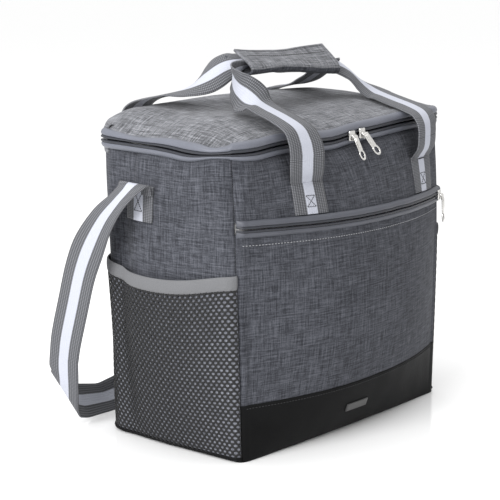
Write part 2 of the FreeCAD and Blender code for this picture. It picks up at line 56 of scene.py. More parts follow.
# ---------------------------------------------------------------- sizes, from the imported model

TAPE_LOW, TAPE_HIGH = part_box("main_zip_lower_tape")
LEG_LOW, LEG_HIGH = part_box("front_webbing_legs")
POCKET_LOW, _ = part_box("front_pocket_panel")
_, LID_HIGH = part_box("lid_panel")
_, BAND_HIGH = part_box("base_band")

SEAM_Z = TAPE_LOW[2]
ZIP_Z = TAPE_HIGH[2] + 0.6 * MM
HALF_X0 = 158 * MM          # at the floor; HALF_X1 is at the rim
HALF_X1 = LID_HIGH[0]
HALF_Y = LID_HIGH[1]
FRONT_BULGE = -POCKET_LOW[1] - HALF_Y
SIDE_BULGE = 13 * MM
BACK_BULGE = 7 * MM
SWELL_POWER = 0.55
BACK_RADIUS = 28 * MM
RIM_RADIUS = 34 * MM        # of the front corners
RIM_CORNER = 27 * MM        # distance round half a front corner
BAND_Z = BAND_HIGH[2]
POCKET_ZIP_Z = 219 * MM
WEB_WIDE = 40 * MM
WEB_THICK = 1.5 * MM
LEG_X = (LEG_LOW[0] + WEB_WIDE / 2, LEG_HIGH[0] - WEB_WIDE / 2)
LEG_Y = 112 * MM


# ---------------------------------------------------------------- meshes

def new_object(name, verts, faces, uvs=None, smooth=True):
    """A mesh object from arrays; uvs is one (u, v) per vertex, in metres on the cloth."""
    mesh = bpy.data.meshes.new(name)
    mesh.from_pydata([tuple(map(float, v)) for v in verts], [], [tuple(map(int, f)) for f in faces])
    mesh.update()
    if uvs is not None:
        layer = mesh.uv_layers.new(name="Cloth")
        loops = np.empty(len(mesh.loops), dtype=np.int64)
        mesh.loops.foreach_get("vertex_index", loops)
        layer.data.foreach_set("uv", np.asarray(uvs, float)[loops].ravel())
    mesh.polygons.foreach_set("use_smooth", [smooth] * len(mesh.polygons))
    obj = bpy.data.objects.new(name, mesh)
    bpy.context.collection.objects.link(obj)
    return obj


UP = np.array([0, 0, 1.0])


def unit(vectors):
    """The same directions with length one."""
    return vectors / np.maximum(np.linalg.norm(vectors, axis=-1, keepdims=True), 1e-12)


def run_along(points):
    """The distance along a line at each of its points."""
    return np.concatenate([[0], np.cumsum(np.linalg.norm(np.diff(points, axis=0), axis=1))])


def grid_normals(points, closed=False):
    """Unit normals of a grid of points, rows by columns."""
    if closed:
        across = np.roll(points, -1, axis=1) - np.roll(points, 1, axis=1)
    else:
        across = np.gradient(points, axis=1)
    return unit(np.cross(across, np.gradient(points, axis=0)))


def shell_faces(rows, cols, closed):
    """The faces of a grid and of a second one set back behind it."""
    count = rows * cols
    faces = []
    for r in range(rows - 1):
        for c in range(cols if closed else cols - 1):
            a, b = r * cols + c, r * cols + (c + 1) % cols
            faces.append((a, b, b + cols, a + cols))
            faces.append((count + a, count + a + cols, count + b + cols, count + b))
    return faces


def sheet_object(name, points, thick, uv=None, closed=False):
    """A closed sheet: the grid outside, the same grid set back by thick, and the edges between."""
    points = np.asarray(points, float)
    rows, cols = points.shape[:2]
    inner = points - grid_normals(points, closed) * thick
    verts = np.concatenate([points.reshape(-1, 3), inner.reshape(-1, 3)])
    count = rows * cols
    faces = shell_faces(rows, cols, closed)
    for c in range(cols if closed else cols - 1):
        a, b = c, (c + 1) % cols
        faces.append((a, count + a, count + b, b))
        a, b = a + (rows - 1) * cols, b + (rows - 1) * cols
        faces.append((a, b, count + b, count + a))
    if not closed:
        for r in range(rows - 1):
            a, b = r * cols, (r + 1) * cols
            faces.append((a, b, count + b, count + a))
            a, b = a + cols - 1, b + cols - 1
            faces.append((a, count + a, count + b, b))
    if uv is None:
        uv = grid_uv(points)
    return new_object(name, verts, faces, np.concatenate([np.asarray(uv).reshape(-1, 2)] * 2))


def grid_uv(points):
    """Distances along and across a grid, so that a weave keeps its scale."""
    middle = points.shape[1] // 2
    u = np.array([run_along(row) for row in points])
    v = run_along(points[:, middle])
    return np.stack([u - u[:, middle:middle + 1], np.broadcast_to(v[:, None], u.shape)], axis=2)


def select(objects):
    """Select just these objects and make the first one active."""
    bpy.ops.object.select_all(action="DESELECT")
    for obj in objects:
        obj.select_set(True)
    bpy.context.view_layer.objects.active = objects[0]


def join(name, parts):
    """One object from several, keeping their material slots and UV maps."""
    select(parts)
    bpy.ops.object.join()
    joined = bpy.context.view_layer.objects.active
    joined.name = name
    joined.data.name = name
    return joined


def apply_modifiers(obj):
    """Bake an object's modifiers into its mesh."""
    select([obj])
    for modifier in list(obj.modifiers):
        bpy.ops.object.modifier_apply(modifier=modifier.name)


def smooth_line(stations, count):
    """Points along a Catmull-Rom curve through rows of numbers, evenly spread by station."""
    rows = np.asarray(stations, float)
    padded = np.concatenate([2 * rows[:1] - rows[1:2], rows, 2 * rows[-1:] - rows[-2:-1]])
    out = []
    for value in np.linspace(0, len(rows) - 1, count):
        index = min(int(value), len(rows) - 2)
        t = value - index
        p0, p1, p2, p3 = padded[index:index + 4]
        out.append(0.5 * (2 * p1 + (p2 - p0) * t + (2 * p0 - 5 * p1 + 4 * p2 - p3) * t * t
                          + (3 * p1 - p0 - 3 * p2 + p3) * t ** 3))
    return np.array(out)


# ---------------------------------------------------------------- materials

def material(name, color, roughness, metallic=0.0, sheen=0.0, specular=0.5):
    """A new node material, its Principled shader and the calls that add nodes to it."""
    mat = bpy.data.materials.new(name)
    mat.use_nodes = True
    shader = mat.node_tree.nodes["Principled BSDF"]
    shader.inputs["Base Color"].default_value = (*color, 1)
    shader.inputs["Roughness"].default_value = roughness
    shader.inputs["Metallic"].default_value = metallic
    shader.inputs["Sheen Weight"].default_value = sheen
    shader.inputs["Specular IOR Level"].default_value = specular
    return mat, shader, Nodes(mat, shader)


class Nodes:
    """Short calls for the nodes that the materials share."""

    def __init__(self, mat, shader):
        self.tree = mat.node_tree
        self.shader = shader

    def add(self, kind, **settings):
        node = self.tree.nodes.new(kind)
        for key, value in settings.items():
            setattr(node, key, value)
        return node

    def link(self, source, target):
        self.tree.links.new(source, target)

    def mapped(self, source, scale, offset=(0, 0, 0)):
        """Coordinates, scaled and moved."""
        mapping = self.add("ShaderNodeMapping")
        mapping.inputs["Scale"].default_value = scale
        mapping.inputs["Location"].default_value = offset
        self.link(source, mapping.inputs["Vector"])
        return mapping.outputs["Vector"]

    def cloth(self, scale=(1, 1, 1), offset=(0, 0, 0)):
        """The cloth's own coordinates."""
        return self.mapped(self.add("ShaderNodeUVMap", uv_map="Cloth").outputs["UV"], scale, offset)

    def place(self, scale):
        """Positions on the object, scaled alike in all directions."""
        return self.mapped(self.add("ShaderNodeTexCoord").outputs["Object"], (scale,) * 3)

    def noise(self, vector, detail=2.0, roughness=0.5):
        node = self.add("ShaderNodeTexNoise")
        node.inputs["Scale"].default_value = 1.0
        node.inputs["Detail"].default_value = detail
        node.inputs["Roughness"].default_value = roughness
        self.link(vector, node.inputs["Vector"])
        return node.outputs["Fac"]

    def math(self, operation, *values):
        """A Math node over sockets and plain numbers."""
        node = self.add("ShaderNodeMath", operation=operation)
        for target, value in zip(node.inputs, values):
            if isinstance(value, (int, float)):
                target.default_value = value
            else:
                self.link(value, target)
        return node.outputs[0]

    def total(self, *terms):
        """The sum of (socket, weight) pairs."""
        parts = [self.math("MULTIPLY", socket, weight) for socket, weight in terms]
        result = parts[0]
        for part in parts[1:]:
            result = self.math("ADD", result, part)
        return result

    def wave(self, value, step):
        """A rounded ridge every step metres."""
        return self.math("ABSOLUTE", self.math("SINE", self.math("MULTIPLY", value, math.pi / step)))

    def ramp(self, value, stops):
        node = self.add("ShaderNodeValToRGB")
        ramp = node.color_ramp
        while len(ramp.elements) < len(stops):
            ramp.elements.new(0.5)
        for element, (position, color) in zip(ramp.elements, stops):
            element.position = position
            element.color = (*color, 1)
        self.link(value, node.inputs["Fac"])
        return node.outputs["Color"]

    def mix(self, factor, first, second):
        """A blend of two colours."""
        node = self.add("ShaderNodeMix", data_type="RGBA")
        for index, value in ((0, factor), (6, first), (7, second)):
            self.link(value, node.inputs[index])
        return node.outputs[2]

    def color(self, tone, *stops):
        """Paint the base colour by a tone."""
        self.link(self.ramp(tone, stops), self.shader.inputs["Base Color"])

    def relief(self, height, strength, distance):
        """Bump the surface by a height."""
        node = self.add("ShaderNodeBump")
        node.inputs["Strength"].default_value = strength
        node.inputs["Distance"].default_value = distance
        self.link(height, node.inputs["Height"])
        self.link(node.outputs["Normal"], self.shader.inputs["Normal"])


def grey(value, blue=1.0):
    """A grey with a slightly stronger blue, from one linear value."""
    return (value, value * (1 + 0.2 * (blue - 1)), value * blue)


def heather_material(name, dark, light):
    """Two-tone linen-like weave: slubby threads both ways, with a soft cloudiness."""
    mat, _, n = material(name, grey(0.1), 0.86, sheen=0.06, specular=0.1)
    warp = n.noise(n.cloth((900, 60, 1)), 1.0)
    weft = n.noise(n.cloth((65, 850, 1), (3, 7, 0)), 1.0)
    slub = n.noise(n.cloth((420, 18, 1), (11, 2, 0)))
    slub_across = n.noise(n.cloth((20, 380, 1), (5, 13, 0)))
    grain = n.noise(n.cloth((600, 600, 1)), 2.0, 0.7)
    cloud = n.noise(n.place(14))
    tone = n.total((warp, 0.34), (weft, 0.34), (slub, 0.17), (slub_across, 0.17), (grain, 0.25),
                   (cloud, 0.10))
    middle = tuple(0.6 * a + 0.4 * b for a, b in zip(dark, light))
    n.color(tone, (0.56, dark), (0.685, middle), (0.82, light))
    n.relief(tone, 0.55, 0.0006)
    return mat


def webbing_material():
    """Ribbed webbing with a pale stripe down its middle third."""
    mat, shader, n = material("webbing", grey(0.2), 0.72, sheen=0.08, specular=0.15)
    split = n.add("ShaderNodeSeparateXYZ")
    n.link(n.cloth(), split.inputs[0])
    across, along = split.outputs[0], split.outputs[1]
    stripe = n.math("LESS_THAN", n.math("ABSOLUTE", across), 6.4 * MM)
    rib, pick, fine = n.wave(across, 2.7 * MM), n.wave(along, 1.5 * MM), n.wave(along, 0.9 * MM)
    fuzz = n.noise(n.cloth((900, 900, 1)), 2.0, 0.7)
    ribbed = n.ramp(n.total((n.math("MULTIPLY", rib, pick), 0.75), (fuzz, 0.35)),
                    ((0.12, grey(0.035, 1.12)), (0.5, grey(0.095, 1.12)), (0.95, grey(0.20, 1.10))))
    pale = n.ramp(n.total((fine, 0.5), (fuzz, 0.5)), ((0.1, grey(0.32, 1.2)), (0.9, grey(0.50, 1.16))))
    n.link(n.mix(stripe, ribbed, pale), shader.inputs["Base Color"])
    n.relief(n.total((rib, 0.7), (pick, 0.3)), 0.6, 0.0005)
    return mat


def tape_material(name, value, blue):
    """Smooth water-repellent zip tape with a faint twill."""
    mat, _, n = material(name, grey(value, blue), 0.45, specular=0.3)
    twill = n.noise(n.cloth((1100, 500, 1)), 1.0)
    tone = n.total((twill, 0.4), (n.noise(n.place(30)), 0.6))
    n.color(tone, (0.3, grey(value * 0.86, blue)), (0.7, grey(value * 1.14, blue)))
    n.relief(twill, 0.25, 0.0003)
    return mat


def leatherette_material():
    """Smooth black leatherette with a fine grain."""
    mat, shader, n = material("black_leatherette", grey(0.008, 1.05), 0.55, specular=0.05)
    cells = n.add("ShaderNodeTexVoronoi")
    cells.inputs["Scale"].default_value = 1.0
    n.link(n.cloth((900, 900, 1)), cells.inputs["Vector"])
    cloud = n.noise(n.place(22), 3.0)
    n.color(cloud, (0.3, grey(0.005, 1.05)), (0.75, grey(0.009, 1.05)))
    n.link(n.ramp(cloud, ((0.3, grey(0.42)), (0.75, grey(0.56)))), shader.inputs["Roughness"])
    n.relief(cells.outputs["Distance"], 0.3, 0.0004)
    return mat


def thread_material(name, value):
    """Knitted or twisted thread."""
    mat, _, n = material(name, grey(value, 1.05), 0.6, specular=0.25)
    fuzz = n.noise(n.place(1800))
    n.color(fuzz, (0.3, grey(value * 0.7, 1.05)), (0.7, grey(value * 1.3, 1.05)))
    n.relief(fuzz, 0.3, 0.0003)
    return mat


def elastic_material():
    """Grey elastic binding with fine upright ribs."""
    mat, _, n = material("elastic", grey(0.12), 0.75, specular=0.15)
    split = n.add("ShaderNodeSeparateXYZ")
    n.link(n.cloth(), split.inputs[0])
    tone = n.total((n.wave(split.outputs[0], 1.1 * MM), 0.6), (n.noise(n.cloth((800, 800, 1))), 0.4))
    n.color(tone, (0.2, grey(0.085, 1.06)), (0.8, grey(0.17, 1.06)))
    n.relief(tone, 0.4, 0.0004)
    return mat


def metal_material():
    """Polished nickel with fine wear."""
    mat, shader, n = material("nickel", grey(0.62), 0.22, metallic=1.0)
    wear = n.noise(n.place(600), 4.0)
    n.link(n.ramp(wear, ((0.3, grey(0.16)), (0.8, grey(0.34)))), shader.inputs["Roughness"])
    n.color(wear, (0.3, (0.58, 0.57, 0.55)), (0.7, (0.72, 0.71, 0.69)))
    return mat


def film_material():
    """Silvery heat-reflecting liner, slightly crinkled."""
    mat, _, n = material("liner_film", grey(0.6), 0.32, metallic=0.85)
    crinkle = n.noise(n.place(120), 4.0, 0.6)
    n.color(crinkle, (0.3, grey(0.5)), (0.7, grey(0.72)))
    n.relief(crinkle, 0.35, 0.002)
    return mat


def plastic_material(name, value, rough):
    """Moulded plastic with a fine spark texture."""
    mat, _, n = material(name, grey(value), rough)
    spark = n.noise(n.place(1500))
    n.color(spark, (0.3, grey(value * 0.85)), (0.7, grey(value * 1.15)))
    n.relief(spark, 0.15, 0.0002)
    return mat


HEATHER = heather_material("heather_fabric", grey(0.021, 1.3), grey(0.095, 1.22))
# A lighter copy of the same heather for the lid, its hinge and the grip's flap: painted light, as these
# upward-facing parts catch more of the light.
HEATHER_PAINTED_LIT = heather_material("heather_painted_lit", grey(0.051, 1.12), grey(0.252, 1.10))
WEBBING = webbing_material()
TAPE = tape_material("zip_tape", 0.125, 1.25)
TAPE_DARK = tape_material("pocket_zip_tape", 0.075, 1.25)
COIL = tape_material("zip_coil", 0.03, 1.3)
BLACK = leatherette_material()
MESH = thread_material("mesh_thread", 0.014)
PALE_THREAD = thread_material("pale_thread", 0.30)
DARK_THREAD = thread_material("dark_thread", 0.03)
ELASTIC = elastic_material()
# Pale cloth behind the side pockets' net: painted light, standing in for light scattered through the net
# onto the wall behind it.
NET_BACKING_PAINTED_LIGHT = heather_material("pocket_backing_painted_light", grey(0.11, 1.2), grey(0.27, 1.18))
NICKEL = metal_material()
FILM = film_material()
FOAM = plastic_material("foam", 0.75, 0.9)
PLASTIC = plastic_material("black_plastic", 0.02, 0.45)
BADGE = plastic_material("badge_plastic", 0.045, 0.4)
BOARD = plastic_material("board", 0.05, 0.7)


def dress(obj, mat, body, slot, *nodes):
    """Give a piece its material and its body, and hide the nodes it stands for."""
    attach(obj, body)
    return clothe(obj, mat, slot, nodes)


def bend(obj, mat, slot, bodies, start, end, *nodes):
    """Give a piece its material, with its transform baked into its mesh, and hide the nodes it stands
    for.
    """
    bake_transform(obj)
    return clothe(obj, mat, slot, nodes)


def clothe(obj, mat, slot, nodes):
    obj.data.materials.clear()
    obj.data.materials.append(mat)
    if nodes:
        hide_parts(*nodes)
    return obj


# ---------------------------------------------------------------- the bag's surface

def bump(value, centre, width):
    """A bell curve of height one."""
    return np.exp(-((value - centre) / width) ** 2)


def swell(z):
    """Share of the full bulge at height z, as in the CAD model."""
    share = np.clip(z / SEAM_Z, 0, 1)
    return np.maximum(np.sin(math.pi * share), 0) ** SWELL_POWER


def front_radius(z):
    """The front corners are tight at the floor and round at the rim."""
    return (9 + 25 * np.clip(z / ZIP_Z, 0, 1) ** 5) * MM


def front_reach(z):
    """How far the front's plain outline is from the middle; it draws in towards the rim."""
    return HALF_Y + (3 - 3 * np.clip(z / ZIP_Z, 0, 1) ** 4) * MM


def outline(z, inset=0.0):
    """A dense closed outline at height z, from the middle of the front towards +X, and the
    distances along it to the four seams: front right, back right, back left, front left."""
    half_x = HALF_X0 + (HALF_X1 - HALF_X0) * min(z / ZIP_Z, 1) - inset
    front_y = float(front_reach(z)) - inset
    back_y = HALF_Y - inset
    front = max(float(front_radius(z)) - inset, 2 * MM)
    back = max(BACK_RADIUS - inset, 2 * MM)
    corners = ((1, -1, front, front_y, 12), (1, 1, back, back_y, 24),
               (-1, 1, back, back_y, 0), (-1, -1, front, front_y, 12))
    points = [np.array([[0.0, -front_y]])]
    marks = []
    for index, (sx, sy, radius, reach, seam) in enumerate(corners):
        start = -math.pi / 2 + index * math.pi / 2
        angles = np.linspace(start, start + math.pi / 2, 25)
        centre = np.array([sx * (half_x - radius), sy * (reach - radius)])
        marks.append(sum(len(p) for p in points) + seam)
        points.append(centre + radius * np.stack([np.cos(angles), np.sin(angles)], axis=1))
    points.append(np.array([[0.0, -front_y]]))
    path = np.vstack(points)
    distance = run_along(path)
    return path, distance, [distance[m] for m in marks]


def along_outline(z, wanted, inset=0.0):
    """Points at given distances round the outline at height z, and their outward normals."""
    path, distance, _ = outline(z, inset)
    total = distance[-1]

    def at(values):
        values = np.mod(values, total)
        return np.stack([np.interp(values, distance, path[:, i]) for i in range(2)], axis=1)

    step = 0.8 * MM
    tangent = unit(at(wanted + step) - at(wanted - step))
    return at(wanted), np.stack([tangent[:, 1], -tangent[:, 0]], axis=1)


PANELS = {"front": (3, 0), "right": (0, 1), "back": (1, 2), "left": (2, 3)}


def panel_span(side, z, inset=0.0):
    """Where one panel starts and ends, as distances round the outline at height z."""
    _, distance, seams = outline(z, inset)
    start, end = (seams[i] for i in PANELS[side])
    return start, end + (distance[-1] if end < start else 0.0)


def rim_place(x, y):
    """Distance along the rim from the front left corner: positive to the right, negative back."""
    front = x + HALF_X1 - RIM_RADIUS + RIM_CORNER
    back = y + HALF_Y - RIM_RADIUS
    on_left = (x < 0) & (y > -HALF_Y + 10 * MM)
    on_right = (x > 0) & (y > -HALF_Y + 10 * MM)
    far = 2 * (HALF_X1 - RIM_RADIUS) + 3 * RIM_CORNER + back
    return np.where(on_left, -(back + RIM_CORNER), np.where(on_right, far, front)) / MM


# The zip's rise and fall and the dips in its width: size in mm, place and width along the rim.
RIM_HILLS = ((-2.8, -38, 26), (2.2, 60, 35), (-2.9, 133, 28), (2.2, 265, 50), (-2.2, 372, 26),
             (1.2, 430, 30))
BELOW_WIDE, BELOW_DIPS = 9.5, ((-5.5, -15, 25), (-3.0, 352, 25))
ABOVE_WIDE, ABOVE_DIPS = 10.5, ((-4.6, -108, 35), (-4.2, -14, 14), (-2.5, 360, 40))


def hills(x, y, rows):
    """A sum of bell curves along the rim."""
    place = rim_place(x, y)
    return sum(size * bump(place, centre, width) for size, centre, width in rows)


def rim_wave(x, y):
    """Slow rise and fall of the zip round the rim."""
    return hills(x, y, RIM_HILLS) * MM


def tape_below(x, y):
    """How much of the zip shows below its coil: it rolls under at the front left corner."""
    return (BELOW_WIDE + hills(x, y, BELOW_DIPS)) * MM


def tape_above(x, y):
    """How much of the zip shows above its coil."""
    return (ABOVE_WIDE + hills(x, y, ABOVE_DIPS)) * MM


def soft(x, y, z, scale, seed):
    """Smooth noise between -1 and 1."""
    return noise.noise(Vector((x * scale + seed, y * scale + seed * 0.37, z * scale - seed)))


def bulge(side, t, x, z, slack=1.0):
    """How far a panel stands out from the plain outline."""
    if side == "front":
        half = HALF_X0 + (HALF_X1 - HALF_X0) * z / ZIP_Z - 14 * MM
        return slack * FRONT_BULGE * swell(z) * np.clip(1 - (x / half) ** 2, 0, 1) ** 0.95
    if side == "back":
        return BACK_BULGE * swell(z) * (1 - (2 * t - 1) ** 2)
    forward = t if side == "right" else 1 - t
    return SIDE_BULGE * swell(z) * np.sin(math.pi * np.clip(forward * 1.12, 0, 1)) ** 1.1


def side_folds(y, z):
    """The soft valley in front of each back corner, and the crease above the strap's patch."""
    share = np.clip(z / SEAM_Z, 0.02, 0.98)
    depth = 3.4 * MM * bump(y, 45 * MM, 11 * MM) * np.sin(math.pi * share) ** 0.4
    crease = 1.7 * MM * bump(y, 33 * MM, 3.2 * MM) * np.clip((z - 205 * MM) / (40 * MM), 0, 1)
    return -depth - crease


def zip_slope(x):
    """The pocket zip runs slightly downhill from the bag's left to its right."""
    return np.interp(x, (-168 * MM, -60 * MM, 168 * MM), (4 * MM, 0, -7 * MM))


PINCH = 7 * MM              # how far the back corners are drawn in at mid height
SEAM_DIP = 2.4 * MM         # how far the cloth is drawn in at a seam


def corner_pinch(side, t, wide, z):
    """How far both back corners are drawn in between the floor and the rim."""
    if side == "front":
        return 0.0
    gap = {"left": t, "right": 1 - t, "back": np.minimum(t, 1 - t)}[side] * wide
    return PINCH * bump(gap, 0, 34 * MM) * bump(z, 108 * MM, 70 * MM)


FOLDS = {"front": (1.0, 3.1), "left": (1.3, 8.7), "right": (1.3, 15.2), "back": (1.1, 21.9)}


def wrinkle(side, x, y, z):
    """Shallow folds of the cloth over the foam: FOLDS has their height in mm and their seed."""
    size, seed = FOLDS[side]
    slow, quick = soft(x, y, z, 13, seed), soft(x * 1.6, y * 1.6, z * 0.8, 31, seed + 5)
    return size * MM * (0.8 * slow + 0.35 * quick)


def skin(side, t, z, inset=0.0, out=0.0, slack=1.0, rough=True):
    """One level row of a panel's outer face; t runs 0 to 1 between its two seams."""
    start, end = panel_span(side, z, inset)
    here, normal = along_outline(z, start + (end - start) * t, inset)
    away = bulge(side, t, here[:, 0], z, slack) + out - corner_pinch(side, t, end - start, z)
    height = np.full(len(t), float(z))
    if rough:
        near = np.minimum(t, 1 - t) * (end - start)
        away = away - SEAM_DIP * bump(near, 0, 6 * MM)
        if side in ("left", "right"):
            away = away + side_folds(here[:, 1], z)
        if side == "front":
            height = height + zip_slope(here[:, 0]) * bump(z, POCKET_ZIP_Z, 45 * MM)
        fade = np.clip(near / (25 * MM), 0, 1) * float(np.clip((SEAM_Z - z) / (30 * MM), 0.15, 1))
        away = away + np.array([wrinkle(side, x, y, z) for x, y in here]) * fade
        x, y = here.T
        lift = ZIP_Z + rim_wave(x, y) - tape_below(x, y) - SEAM_Z
        height = height + lift * np.clip((z - 190 * MM) / (SEAM_Z - 190 * MM), 0, 1.1) ** 2
    return np.column_stack([here + normal * np.asarray(away)[:, None], height])


def wall(side, low, high, rows, cols, span=(0.0, 1.0), **how):
    """A grid of points on one side of the bag between two heights."""
    t = np.linspace(span[0], span[1], cols)
    return np.array([skin(side, t, z, **how) for z in np.linspace(low, high, rows)])


class Face:
    """One wall as a dense grid, for finding points on it and the directions there."""

    ROWS, COLS, SAMPLES = 90, 121, 400

    def __init__(self, side):
        self.axis = 0 if side in ("front", "back") else 1
        self.low, self.high = 1.0 * MM, SEAM_Z
        self.points = wall(side, self.low, self.high, self.ROWS, self.COLS)
        self.normals = grid_normals(self.points)

    def at(self, t, z, out=0.0):
        """Points and outward normals at shares t of the way along the wall and at heights z."""
        a = np.clip(t, 0, 1) * (self.COLS - 1)
        b = np.clip((z - self.low) / (self.high - self.low), 0, 1) * (self.ROWS - 1)
        i, j = np.minimum(a.astype(int), self.COLS - 2), np.minimum(b.astype(int), self.ROWS - 2)
        fa, fb = (a - i)[..., None], (b - j)[..., None]

        def mix(grid):
            low = grid[j, i] * (1 - fa) + grid[j, i + 1] * fa
            high = grid[j + 1, i] * (1 - fa) + grid[j + 1, i + 1] * fa
            return low * (1 - fb) + high * fb

        normals = unit(mix(self.normals))
        return mix(self.points) + normals * out, normals

    def share(self, place, z):
        """The share t at which the wall reaches a given x (front, back) or y (sides)."""
        t = np.linspace(0.02, 0.98, 241)
        keys = self.at(t, np.full(241, z))[0][:, self.axis]
        order = np.argsort(keys)
        return float(np.interp(place, keys[order], t[order]))

    def line(self, start, end, count, out=0.0):
        """Points and normals between two (place, height) spots on the wall."""
        spots = np.linspace(start, end, count)
        t = np.array([self.share(place, z) for place, z in spots])
        return self.at(t, spots[:, 1], out)

    def patch(self, middle, width, low, high, rows, cols, out=0.0):
        """A grid lying on the wall, width wide about a middle x or y, and its cloth coordinates."""
        heights = np.linspace(low, high, rows)
        centre, _ = self.at(np.array([self.share(middle, z) for z in heights]), heights)
        grid = np.empty((rows, cols, 3))
        step = np.linspace(-width / 2, width / 2, cols)
        t = np.linspace(0, 1, self.SAMPLES)
        for row, z in enumerate(heights):
            run = run_along(self.at(t, np.full(self.SAMPLES, z))[0])
            here = np.interp(self.share(middle, z), t, run)
            grid[row], _ = self.at(np.interp(here + step, run, t), np.full(cols, z), out)
        return grid, np.stack(np.meshgrid(step, run_along(centre)), axis=2)


FACES = {side: Face(side) for side in PANELS}


# ---------------------------------------------------------------- webbing

WEB_COLS = 13
WEB_SHARE = np.linspace(-1, 1, WEB_COLS)


def web_uv(rows):
    """Cloth coordinates of webbing from its distances along."""
    return np.stack(np.meshgrid(WEB_SHARE * WEB_WIDE / 2, rows), axis=2)


def webbing_grid(stations, count):
    """Webbing through stations (x, y, z, across x, y, z, curl, share) in millimetres: the direction
    across goes from its left edge to its right edge, curl is how far both edges bend back, and
    share is how much of its width shows where it is gathered."""
    rows = smooth_line([(*row, 1.0) if len(row) == 7 else row for row in stations], count)
    centre, across, curl = rows[:, :3] * MM, rows[:, 3:6], rows[:, 6] * MM
    along = unit(np.gradient(centre, axis=0))
    across = unit(across - along * np.sum(across * along, axis=1, keepdims=True))
    normal = np.cross(across, along)
    half = WEB_WIDE / 2 * rows[:, 7] * (1 - 2.67 * (curl / WEB_WIDE) ** 2)
    grid = (centre[:, None, :] + across[:, None, :] * (WEB_SHARE[None, :] * half[:, None])[:, :, None]
            - normal[:, None, :] * (curl[:, None] * (WEB_SHARE ** 2 - 0.3)[None, :])[:, :, None])
    return grid, web_uv(run_along(centre))


def webbing_sheet(name, grid, uv, thick=WEB_THICK):
    """A length of webbing between a grid and its back."""
    return sheet_object(name, grid, thick, uv)


# ---------------------------------------------------------------- stitches

def stitches(name, body, points, normals, mat, slot, pitch=3.4 * MM, share=0.68, radius=0.35 * MM):
    """A row of sewn stitches along a line: short rounded threads lying on the cloth."""
    run = run_along(points)
    count = max(int(run[-1] / pitch), 1)
    verts, faces = [], []
    for index in range(count):
        middle = (index + 0.5) * run[-1] / count
        ends = np.array([middle - pitch * share / 2, middle + pitch * share / 2])
        a, b = (np.array([np.interp(e, run, points[:, i]) for i in range(3)]) for e in ends)
        up = np.array([np.interp(middle, run, normals[:, i]) for i in range(3)])
        line = unit(b - a)
        up = unit(up - line * np.dot(up, line))
        side = np.cross(line, up)
        base = len(verts)
        verts += [a, b]
        for centre in (a + (b - a) * 0.2, a + (b - a) * 0.8):
            for angle in np.arange(6) * math.pi / 3:
                verts.append(centre + (side * math.cos(angle) + up * (math.sin(angle) + 0.35)) * radius)
        first, second = base + 2, base + 8
        for turn in range(6):
            after = (turn + 1) % 6
            faces += [(base, first + after, first + turn), (base + 1, second + turn, second + after),
                      (first + turn, first + after, second + after, second + turn)]
    return dress(new_object(name, verts, faces), mat, body, slot)


# ---------------------------------------------------------------- camera, light, floor

CAMERA_AZIMUTH, CAMERA_ELEVATION = -49.62, 12.38
CAMERA_DISTANCE = 1.866
CAMERA_TARGET = (-0.0392, 0.0, 0.1725)
CAMERA_LENS = 135.2
FLOOR_HALF = 6.0


def make_camera():
    data = bpy.data.cameras.new("camera")
    data.lens = CAMERA_LENS
    data.sensor_width = 36
    camera = bpy.data.objects.new("camera", data)
    bpy.context.collection.objects.link(camera)
    az, el = math.radians(CAMERA_AZIMUTH), math.radians(CAMERA_ELEVATION)
    target = Vector(CAMERA_TARGET)
    back = Vector((math.sin(az) * math.cos(el), -math.cos(az) * math.cos(el), math.sin(el)))
    camera.location = target + back * CAMERA_DISTANCE
    camera.rotation_euler = back.to_track_quat("Z", "Y").to_euler()
    bpy.context.scene.camera = camera


def area_light(name, place, aim, size, power):
    data = bpy.data.lights.new(name, "AREA")
    data.shape = "RECTANGLE"
    data.size, data.size_y = size
    data.energy = power
    light = bpy.data.objects.new(name, data)
    bpy.context.collection.objects.link(light)
    light.location = place
    light.rotation_euler = (Vector(place) - Vector(aim)).to_track_quat("Z", "Y").to_euler()


def make_stage():
    world = bpy.data.worlds.new("studio")
    bpy.context.scene.world = world
    world.use_nodes = True
    background = world.node_tree.nodes["Background"]
    background.inputs["Color"].default_value = (1, 1, 1, 1)
    background.inputs["Strength"].default_value = 1.0
    area_light("key", (-2.05, -0.15, 1.25), (0, 0, 0.15), (1.3, 1.3), 55)
    area_light("top", (0.1, 0.2, 2.2), (0, 0, 0.2), (1.6, 1.2), 16)
    corners = [(x * FLOOR_HALF, y * FLOOR_HALF, 0) for x, y in ((-1, -1), (1, -1), (1, 1), (-1, 1))]
    floor = new_object("floor", corners, [(0, 1, 2, 3)], smooth=False)
    floor.data.materials.append(material("floor", (0.93, 0.93, 0.93), 0.12)[0])
    bpy.context.scene.view_settings.view_transform = "Standard"


# ---------------------------------------------------------------- walls

CLOTH = 1.2 * MM


def panel(name, grid, *nodes, mat=None, slot="heather_fabric", body="bag", fill=0.35):
    """A padded panel of the bag's own cloth."""
    piece = dress(sheet_object(name, grid, CLOTH), mat or HEATHER, body, slot, *nodes)
    return piece


def make_walls():
    """The outer cloth of all four sides and the base."""
    low, top = 1.0 * MM, SEAM_Z + 2 * MM
    panel("left_side", wall("left", low, top, 100, 90), "left_side_panel")
    panel("right_side", wall("right", low, top, 100, 90), "right_side_panel")
    panel("back_wall", wall("back", low, top, 90, 100), "back_panel")
    panel("front_upper", wall("front", POCKET_ZIP_Z + 5 * MM, top, 34, 130), "front_panel")
    pocket = wall("front", BAND_Z - 1 * MM, POCKET_ZIP_Z - 5 * MM, 74, 130)
    panel("front_pocket", pocket, "front_pocket_panel")
    band = wall("front", 0.6 * MM, BAND_Z, 30, 130, out=0.6 * MM)
    panel("foot_band", band, "base_band", mat=BLACK, slot="black_leatherette", fill=None)


